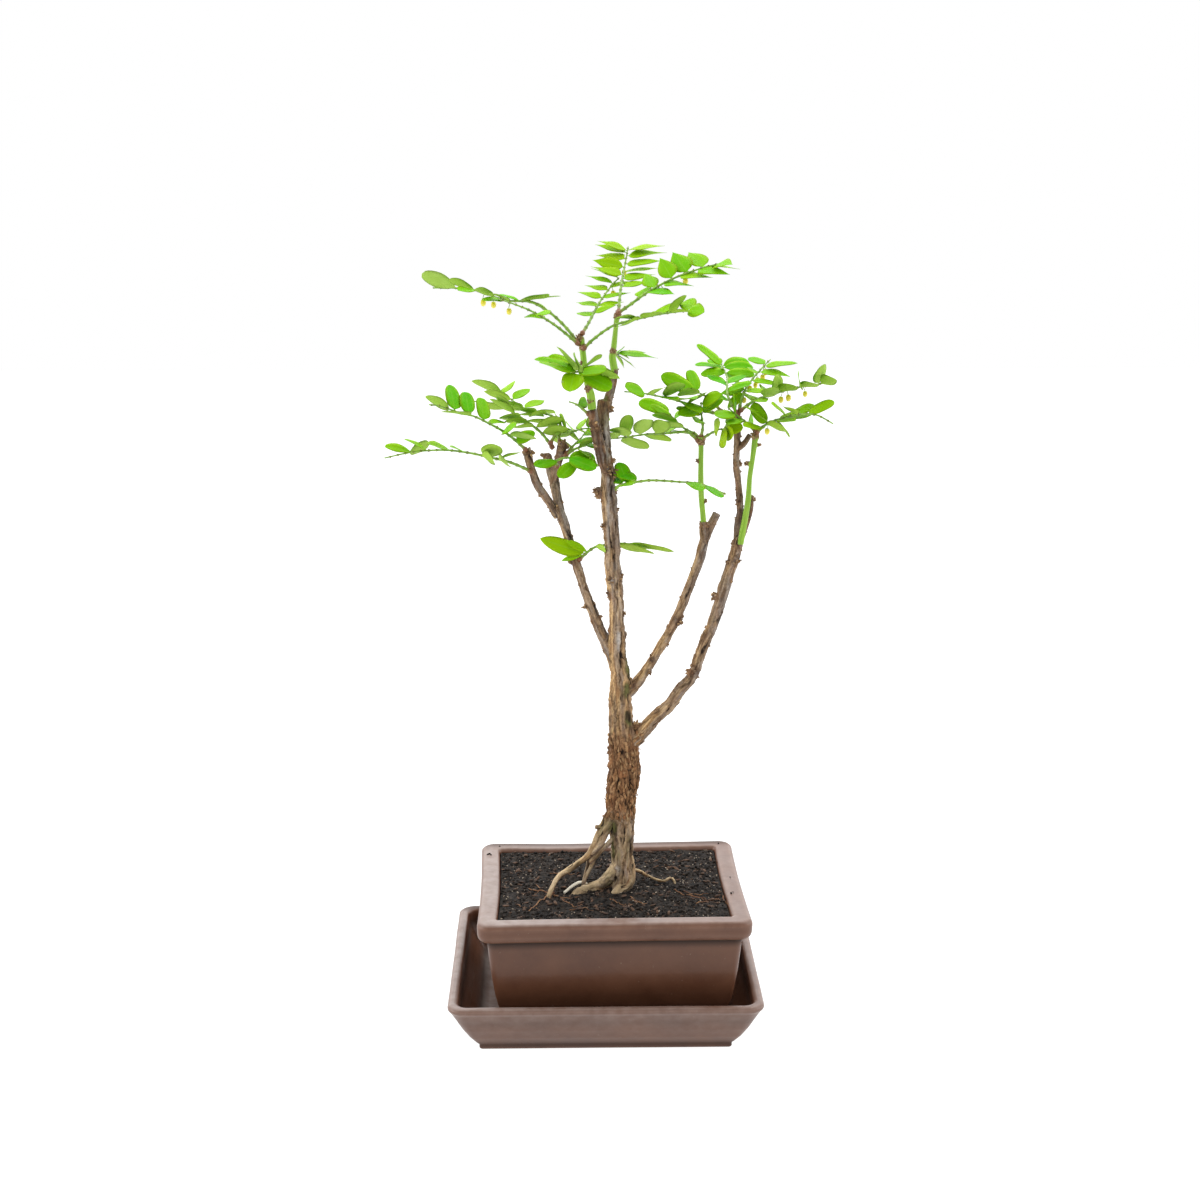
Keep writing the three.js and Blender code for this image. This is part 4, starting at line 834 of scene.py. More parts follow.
# Closed tubes of all paths, waved by two and three lobes that wind along, and the knuckles' cores, melted
# into one skin of small even quads
def meltedSkin(name, paths, bumps, voxel, grow):
    sides = woodValues["tubeSides"]
    angle = np.arange(sides) / sides * 2 * math.pi
    parts, spines = [], []
    for path in paths.values():
        centres, tangents, radii, along = smoothPath(path, woodValues["tubeStep"])
        run = along[:, None]
        lobes = 1 + 0.07 * np.cos(2 * angle + run / 17) + 0.05 * np.cos(3 * angle - run / 23)
        rings = tubeRings(centres, tangents, (radii + grow)[:, None] * lobes, sides, acrossGuide)
        parts.append(loftPart(rings))
        spines.append(np.column_stack([centres, radii]))
    spine = np.vstack(spines)
    parts.append(knuckleCores(bumps, spine[:, :3], spine[:, 3]))
    piece = makeObject(name, joinParts(parts))
    melt = piece.modifiers.new("melt", "REMESH")
    melt.mode, melt.voxel_size = "VOXEL", voxel * mm
    soften = piece.modifiers.new("soften", "SMOOTH")
    soften.factor, soften.iterations = 0.5, woodValues["smoothTurns"]
    applyModifiers(piece)
    return piece


# A mesh's points in millimetres, and which way each one faces
def readSkin(mesh):
    flat = np.empty((2, len(mesh.vertices) * 3), np.float32)
    mesh.vertices.foreach_get("co", flat[0])
    mesh.vertex_normals.foreach_get("vector", flat[1])
    points, normals = flat.reshape(2, -1, 3).astype(float)
    return points / mm, normals


# Moves the points of a mesh out along its normals, by a depth in millimetres
def moveSkin(mesh, points, normals, depth):
    mesh.vertices.foreach_set("co", ((points + normals * depth[:, None]) * mm).astype(np.float32).ravel())
    mesh.update()
    mesh.shade_smooth()


# Which step of the paths each point is nearest to, measured from the bark's surface there
def nearestStep(points, centres, radii):
    nearest = np.empty(len(points), int)
    for start in range(0, len(points), 4000):
        away = np.linalg.norm(points[start:start + 4000, None] - centres, axis=-1)
        nearest[start:start + 4000] = np.argmin(away - radii, axis=1)
    return nearest


# How much of a knuckle each point is: 1 near its middle, falling to 0 at reach times its radius
def knuckleMark(points, bumps, reach):
    toBump = np.linalg.norm(points[:, None] - bumps[:, :3], axis=-1) / bumps[:, 3]
    return np.clip(reach - toBump.min(axis=1), 0, 1)


# Each spot fades as a bell curve from its middle, over its own lengths, with an edge that noise frays
def spotMarks(points):
    marks = {"orange": 0, "pit": 0, "moss": 0, "silver": 0}
    frayed = np.stack([softNoise(points / 2.2, 71), 0 * points[:, 0], softNoise(points / 2.2, 72)], -1)
    for x, y, z, length, width, kind in barkSpots:
        offset = (points - [x, y, z]) / [width, width * 2.5, length] + 0.35 * frayed
        marks[kind] = np.maximum(marks[kind], np.exp(-np.sum(offset ** 2, axis=-1) * 1.3))
    return marks


# What the wood is like at each point: its place in the grain, two ways across and one along, and its tones.
# Low is 1 among the roots. On the left of the branches above their foot the bark is painted lighter, as
# painted light from the left, and on the right it is painted darker, as painted shade.
def woodAt(points, normals, samples, bumps):
    values = woodValues
    centres, tangents, first, radii, along, tones, white = samples
    k = nearestStep(points, centres, radii)
    away = points - centres[k]
    second = np.cross(tangents[k], first[k])
    run = along[k] + np.sum(away * tangents[k], -1)
    height = points[:, 2]
    # Painted light and shade: tan is raised on the left faces and lowered on the right, and moss is added on
    # the right of the trunk as painted shade
    left, right = np.clip(-normals[:, 0], 0, 1), np.clip(normals[:, 0], 0, 1)
    high = np.clip((height - values["branchFoot"]) / 15, 0, 1)
    shaded = right * np.exp(-((height - values["mossMiddle"]) / 24) ** 2) * (radii[k] > 4)
    tan, red, moss, flaky = tones[k].T
    return {
        "grain": np.stack([np.sum(away * first[k], -1), np.sum(away * second, -1), run], -1),
        "tan": tan + high * (0.35 * left - 0.3 * right), "red": red, "moss": moss + 0.6 * shaded,
        "flaky": flaky, "white": white[k], "knuckle": knuckleMark(points, bumps, 1.8),
        "spots": spotMarks(points), "thick": np.clip(radii[k] / 4, 0.12, 1.3), "litLeft": left * high,
        "low": np.clip((values["rootTop"] - height) / 12, 0, 1) * (1 - white[k]),
    }


# The bark's own patterns. Plates are cells pulled out of line by noise, each with its own tone, with cracks
# between. Streaks are noise stretched about ten times along the grain. Skin is 1 where the outer skin still
# holds and 0 where it has peeled off.
def barkPatterns(points, at):
    sizes, grain = barkSizes, at["grain"]
    bend = [softNoise(grain / 4, 31), softNoise(grain / 4, 32), 2 * softNoise(grain / 5, 30)]
    wave = grain + 1.6 * np.stack(bend, -1)
    border, plate = crackNoise(wave / sizes["plate"], 33)
    crackShare = np.clip(0.5 + 1.2 * softNoise(grain / sizes["crackFade"], 29), 0, 1)
    streaks = softNoise(wave / sizes["streak"], 35) + 0.55 * softNoise(wave / sizes["fineStreak"], 36)
    peel = softNoise(wave / sizes["peel"], 49) + 0.35 * softNoise(wave / sizes["finePeel"], 50)
    return {
        "wave": wave, "border": border, "plate": plate, "peel": peel,
        "crack": np.clip(1 - border / 0.17, 0, 1) * crackShare,
        # Streaks are weaker on the left of the branches, with the painted light there
        "streaks": streaks * (1 - 0.45 * at["litLeft"]),
        "skin": np.clip((peel - 0.02) / 0.12, 0, 1), "blotch": softNoise(wave / sizes["blotch"], 56),
        "rough": softNoise(points / 1.7, 37) + 0.7 * softNoise(points / 0.9, 38),
    }


# How far the bark stands out: plates where it is flaky, streaks and peeled skin where it isn't, a finer
# relief among the roots, rough lumps with no grain on the knuckles, and pits
def barkDepth(points, at):
    values, flaky, rough, knuckle = woodValues, at["flaky"], at["rough"], at["knuckle"]
    plates = (at["plate"] - 0.55) * 0.8 + np.clip(at["border"] / 0.4, 0, 1) * 0.45 + 0.4 * rough
    depth = flaky * plates * values["plateDepth"] + (1 - 0.6 * flaky) * at["streaks"] * values["streakDepth"]
    depth = depth + (1 - flaky) * (at["skin"] - 0.5) * values["peelDepth"]
    relief = softNoise(at["wave"] / barkSizes["rootRelief"], 55)
    depth = depth + at["low"] * values["rootDepth"] * relief
    depth = depth * (1 - 0.7 * knuckle) + knuckle * rough * values["knuckleDepth"]
    depth = depth + softNoise(points / 7, 39) * values["lump"]
    return (depth - values["pitDepth"] * at["spots"]["pit"]) * at["thick"]


# How much of each tone shows: dark in cracks and torn edges, dark as painted shade in pits and under the
# roots, darker near the soil line, silver on the ridges, pale on top of the roots as painted light, moss in
# blotches
def barkMarks(points, normals, at):
    sizes, grain, spots, flaky, low, white = (
        barkSizes, at["grain"], at["spots"], at["flaky"], at["low"], at["white"])
    up = normals[:, 2]
    fissure = np.clip(-at["streaks"] - 0.32, 0, 1) * 2.4
    torn = np.exp(-((at["peel"] + 0.03) / 0.07) ** 2) * 0.7
    # Darker in blotches below the soil line
    nearSoil = np.clip((woodValues["soilLine"] - points[:, 2]) / 6, 0, 1)
    nearSoil = nearSoil * np.clip(0.75 + 0.8 * softNoise(points / 2.4, 46), 0, 1)
    # Dark in the pits as painted shade
    crack = at["crack"] * flaky + (fissure + torn) * (1 - flaky) + 1.2 * spots["pit"]
    # Dark on the under sides of the roots as painted shade
    crack = np.maximum(crack, low * 0.8 * np.clip(-1.6 * up - 0.1, 0, 1))
    crack = np.maximum(crack, 0.8 * nearSoil)
    strip = np.clip(0.5 + 1.6 * softNoise(grain / sizes["strip"], 44), 0, 1)
    tan = at["tan"] * (0.5 + 0.75 * strip) + 0.35 * (0.5 - at["skin"]) * (1 - flaky)
    silver = np.clip(at["streaks"], 0, 1) * 0.7 * (1 - flaky) * (1 - at["tan"] * 0.7) + spots["silver"]
    mossAndShade = at["moss"] * (0.3 + 1.1 * softNoise(points / sizes["moss"], 43)) + spots["moss"]
    mossAndShade = mossAndShade + 0.5 * low * np.clip(at["blotch"], 0, 1)
    red = np.maximum(at["red"], 0.85 * at["knuckle"]) + 0.25 * softNoise(grain / sizes["redness"], 42)
    red = red - 1.1 * low * np.clip(at["blotch"] + 0.1, -1, 0)
    orange = spots["orange"] * at["plate"] + flaky * np.clip(at["plate"] - 0.85, 0, 1) * 2
    # Paler on the upward faces of the roots as painted light from above
    cream = 1.2 * up + 0.1 + 0.5 * softNoise(grain / sizes["cream"], 40)
    return {
        "grain": grain, "tan": np.clip(tan, 0, 1),
        "brown": np.clip(flaky * 1.5 - 0.45 + 0.3 * (at["plate"] - 0.5), 0, 1),
        "red": np.clip(red, 0, 1), "mossAndShade": np.clip(mossAndShade, 0, 1) * (1 - white),
        "crack": np.clip(crack, 0, 1) * (1 - white), "silver": np.clip(silver, 0, 1),
        "orange": np.clip(orange, 0, 0.5), "white": white, "cream": low * np.clip(cream, 0, 0.8),
    }


def workBark(piece, samples, bumps):
    points, normals = readSkin(piece.data)
    at = woodAt(points, normals, samples, bumps)
    at.update(barkPatterns(points, at))
    moveSkin(piece.data, points, normals, barkDepth(points, at))
    for key, value in barkMarks(points, normals, at).items():
        setMark(piece.data, key, value)


# Bark of a shrub stem: matt, tan or grey with long streaks, brown flaking plates low down, moss, which
# also paints the shade on the right of the trunk. Streaks mix the two tones of grey, tan and brown, and
# patches those of red scars and moss. Fine grit shades all layers but the white root.
def barkMaterial():
    values = woodValues
    m = newMaterial("shrubBark")
    grain = add(m, "Attribute", attribute_name="grain", out="Vector")
    place = add(m, "TexCoord", out="Object")
    long = add(m, "Mapping", {"Vector": grain, "Scale": (0.9, 0.9, 0.09)})
    streak = add(m, "TexNoise", {"Vector": long, "Scale": 1.0, "Detail": 5.0, "Roughness": 0.65})
    grit = add(m, "TexNoise", {"Vector": place, "Scale": perMm / 1.1, "Detail": 4.0, "Roughness": 0.7})
    patch = add(m, "TexNoise", {"Vector": place, "Scale": perMm / 6, "Detail": 3.0})
    tones = {}
    for name, pattern, darkEnd in (
        ("grey", streak, 0.42), ("tan", streak, 0.42), ("brown", streak, 0.42), ("red", patch, 0.42),
        ("mossAndShade", patch, 0.44),
    ):
        stops = [(darkEnd, values[name + "Dark"]), (0.6, values[name])]
        tones[name] = add(m, "ValToRGB", {"Fac": pattern}, stops)
    layers = ("tan", "brown", "red", "cream", "silver", "orange", "mossAndShade", "crack")
    amounts = {}
    for name in (*layers, "white"):
        amounts[name] = add(m, "Attribute", attribute_name=name, out="Fac")
    damp = add(m, "Math", {0: amounts["mossAndShade"], 1: grit}, operation="MULTIPLY")
    amounts["mossAndShade"] = add(m, "MapRange", {"Value": damp, "From Min": 0.1, "From Max": 0.42})
    colour = tones["grey"]
    for name in layers:
        layer = tones.get(name, values[name])
        colour = add(m, "MixRGB", {"Fac": amounts[name], "Color1": colour, "Color2": layer})
    shade = add(m, "MapRange", {"Value": grit, "From Min": 0.3, "From Max": 0.7,
                                "To Min": 0.66, "To Max": 1.16})
    colour = add(m, "MixRGB", {"Fac": 1.0, "Color1": colour, "Color2": shade}, blend_type="MULTIPLY")
    colour = add(m, "MixRGB", {"Fac": amounts["white"], "Color1": colour, "Color2": values["white"]})
    rough = add(m, "Bump", {"Height": grit, "Strength": 0.55, "Distance": 0.0004})
    bump = add(m, "Bump", {"Height": streak, "Strength": 0.6, "Distance": 0.0006, "Normal": rough})
    return finishMaterial(m, {"Base Color": colour, "Roughness": 0.85, "Normal": bump,
                              "Specular IOR Level": 0.25})


# Crisp little scales over the skin: lumps at the middles, along the ways and flat to the faces, of the sizes
def scalePart(middles, ways, faces, sizes, tone):
    side = unit(np.cross(faces, ways))
    axes = np.stack([side, np.cross(ways, side), ways], 1) * sizes[:, :, None]
    rings = lumpRings(middles, axes, 0.22, 5, 6)
    marks = {"grain": middles[:, None, None] + 0 * rings, "mossAndShade": 0, "crack": 0, "silver": 0, "white": 0}
    for index, key in enumerate(("tan", "brown", "red", "orange")):
        marks[key] = np.broadcast_to(tone[:, index, None, None], rings.shape[:3])
    return loftPart(rings, marks=marks)


# Loose bark: flakes that lift off the flaky length of the trunk
def looseBark(piece, samples):
    values = woodValues
    centres, tangents, _, radii, *_ = samples
    points, normals = readSkin(piece.data)
    low, high = values["flakeSpan"]
    near = np.flatnonzero((points[:, 2] > low) & (points[:, 2] < high) & (np.abs(points[:, 0] - 11) < 11))
    pick = random.choice(near, values["flakes"], replace=False)
    spot, face = points[pick], normals[pick]
    way = tangents[nearestStep(spot, centres, radii)]
    way = unit(way - face * np.sum(way * face, -1, keepdims=True))
    way = unit(way + 0.2 * random.normal(0, 1, way.shape) + face * random.uniform(-0.25, 0.3, (len(way), 1)))
    sizes = random.uniform(*values["flakeSizes"], (len(pick), 3))
    chance = random.uniform(0, 1, (len(pick), 4))
    tone = [0 * chance[:, 0] + 0.8, 0.4 + 0.6 * chance[:, 1], 0.4 * chance[:, 2], 0.6 * chance[:, 3] ** 5]
    return scalePart(spot + face * 0.12, way, face, sizes, np.stack(tone, -1))


# Old bud scales heaped on each knuckle, pointing every way
def budScales(bumps, count):
    spots = np.repeat(bumps, count, axis=0)
    out = unit(random.normal(0, 1, (len(spots), 3)))
    face = unit(np.cross(out, random.normal(0, 1, out.shape)))
    size = spots[:, 3:]
    sizes = size * random.uniform(*woodValues["scaleSizes"], out.shape)
    chance = random.uniform(0, 1, (len(spots), 4))
    tone = np.stack([0.3 + 0.7 * chance[:, 0], 0.4 * chance[:, 1], 0.7 * chance[:, 2], 0 * chance[:, 3]], -1)
    return scalePart(spots[:, :3] + out * size * 0.72, out, face, sizes, tone)


bark = barkMaterial()
allPaths = {**woodPaths, **rootPaths}
samples = sampledPaths(allPaths)
allKnuckles = np.vstack([knuckles, branchNodes(woodPaths)])
tree = meltedSkin("barkWood", allPaths, allKnuckles, woodValues["voxel"], woodValues["grow"])
workBark(tree, samples, allKnuckles)
finishPiece(tree, [bark], ["trunk"])
loose = joinParts([looseBark(tree, samples), budScales(allKnuckles, woodValues["scales"])])
makePiece("barkFlakes", loose, [bark], [])
print("wood:", len(tree.data.polygons), "faces")


# Green shoots

shootTable = {
    "shoot_middle": {
        "path": [
            [56, 12, 283, 1.5], [55.5, 12, 290, 1.5], [54.5, 12, 300, 1.5], [54, 12, 314, 1.5],
            [54, 12, 329, 1.5], [54, 12, 334, 2],
        ],
        "knuckles": [[54, 12, 331.5, 2.6], [56.8, 12, 298, 1.3], [52, 12, 320.5, 1.4]],
    },
    "shoot_right": {
        "path": [
            [75.5, -0.8, 276, 1.6], [76.6, -0.4, 283, 1.7], [78, 0, 291, 1.6], [79.5, 0, 302, 1.5],
            [80, 0, 313, 1.4], [81.3, -1, 324, 1.4], [82.5, -1, 335, 1.8],
        ],
        "knuckles": [[82.5, -1, 337, 2.6], [84.6, -1, 331.5, 1.3], [78.3, 0, 321, 1.5]],
    },
    "shoot_crown_left": {
        "path": [
            [-6.5, -6, 352, 2.2], [-7.2, -6, 359.5, 2.1], [-8.2, -6, 363.5, 2], [-10.5, -6, 375.5, 1.6],
            [-11.2, -6, 381.5, 1.6], [-12.4, -6, 391, 1.9],
        ],
        "knuckles": [
            [-12.8, -6, 390.3, 2.4], [-11.4, -6.4, 385.6, 2.2], [-12, -6.2, 377.1, 1.3],
            [-8.8, -6.4, 363.5, 2.3], [-7.3, -6, 356.6, 2.2],
        ],
    },
    "shoot_crown_right": {
        "path": [
            [6, 2, 371.5, 1.9], [5.1, 2, 375.5, 1.9], [4.6, 2, 380, 1.8], [5.4, 2, 385, 1.5],
            [6.6, 3, 396, 1.2], [7.5, 3, 402.5, 1.7],
        ],
        "knuckles": [[7.5, 3, 401.5, 2.4], [4.7, 2, 382.5, 2.2]],
    },
}
shootValues = {
    "voxel": 0.33, "sampleStep": 1.0, "ridgeDepth": 0.12, "knuckleDepth": 0.5, "scales": 16,
    "green": "#6f9a14", "greenLight": "#8fb52e", "scar": "#463019", "scarLight": "#93714e",
}


# Young bark: satin green with faint pale lines along it, brown and rough at the old bud scales
def shootMaterial():
    values = shootValues
    m = newMaterial("youngGreenBark")
    grain = add(m, "Attribute", attribute_name="grain", out="Vector")
    brown = add(m, "Attribute", attribute_name="brown", out="Fac")
    place = add(m, "TexCoord", out="Object")
    long = add(m, "Mapping", {"Vector": grain, "Scale": (1.0, 1.0, 0.07)})
    line = add(m, "TexNoise", {"Vector": long, "Scale": 1.2, "Detail": 4.0, "Roughness": 0.6})
    green = add(m, "ValToRGB", {"Fac": line}, [(0.35, values["green"]), (0.68, values["greenLight"])])
    grit = add(m, "TexNoise", {"Vector": place, "Scale": perMm / 1.0, "Detail": 4.0})
    scar = add(m, "ValToRGB", {"Fac": grit}, [(0.36, values["scar"]), (0.66, values["scarLight"])])
    edge = add(m, "Math", {0: brown, 1: grit}, operation="ADD")
    edge = add(m, "MapRange", {"Value": edge, "From Min": 0.85, "From Max": 1.05})
    colour = add(m, "MixRGB", {"Fac": edge, "Color1": green, "Color2": scar})
    gloss = add(m, "MapRange", {"Value": edge, "To Min": 0.42, "To Max": 0.85})
    bump = add(m, "Bump", {"Height": line, "Strength": 0.3, "Distance": 0.0004})
    return finishMaterial(m, {"Base Color": colour, "Roughness": gloss, "Normal": bump})


# Faint ridges along the green, and a rough lumpy skin round each knuckle
def workShoot(piece, path, bumps):
    values = shootValues
    points, normals = readSkin(piece.data)
    centres, tangents, radii, along = smoothPath(path, values["sampleStep"])
    k = nearestStep(points, centres, radii)
    away = points - centres[k]
    grain = np.stack([away[:, 0], away[:, 1], along[k] + np.sum(away * tangents[k], -1)], -1)
    brown = knuckleMark(points, bumps, 1.42)
    rough = softNoise(points / 1.4, 47) + 0.7 * softNoise(points / 0.7, 48)
    ridges = softNoise(grain / [0.8, 0.8, 9], 45) * (1 - brown)
    depth = values["ridgeDepth"] * ridges + values["knuckleDepth"] * rough * brown
    moveSkin(piece.data, points, normals, depth)
    setMark(piece.data, "grain", grain)
    setMark(piece.data, "brown", brown)


# A node's name as a piece's: crown_left_upper becomes CrownLeftUpper
def pieceName(node):
    return "".join(word.capitalize() for word in node.split("_"))


youngBark = shootMaterial()
for node, row in shootTable.items():
    lumps = np.array(row["knuckles"], float)
    shoot = meltedSkin("green" + pieceName(node), {"stem": row["path"]}, lumps, shootValues["voxel"], 0)
    workShoot(shoot, row["path"], lumps)
    finishPiece(shoot, [youngBark], [node])
scars = np.vstack([row["knuckles"] for row in shootTable.values()])
makePiece("shootScales", budScales(scars, shootValues["scales"]), [bark], [])
print("shoots:", len(shootTable))


# Leafy sprays

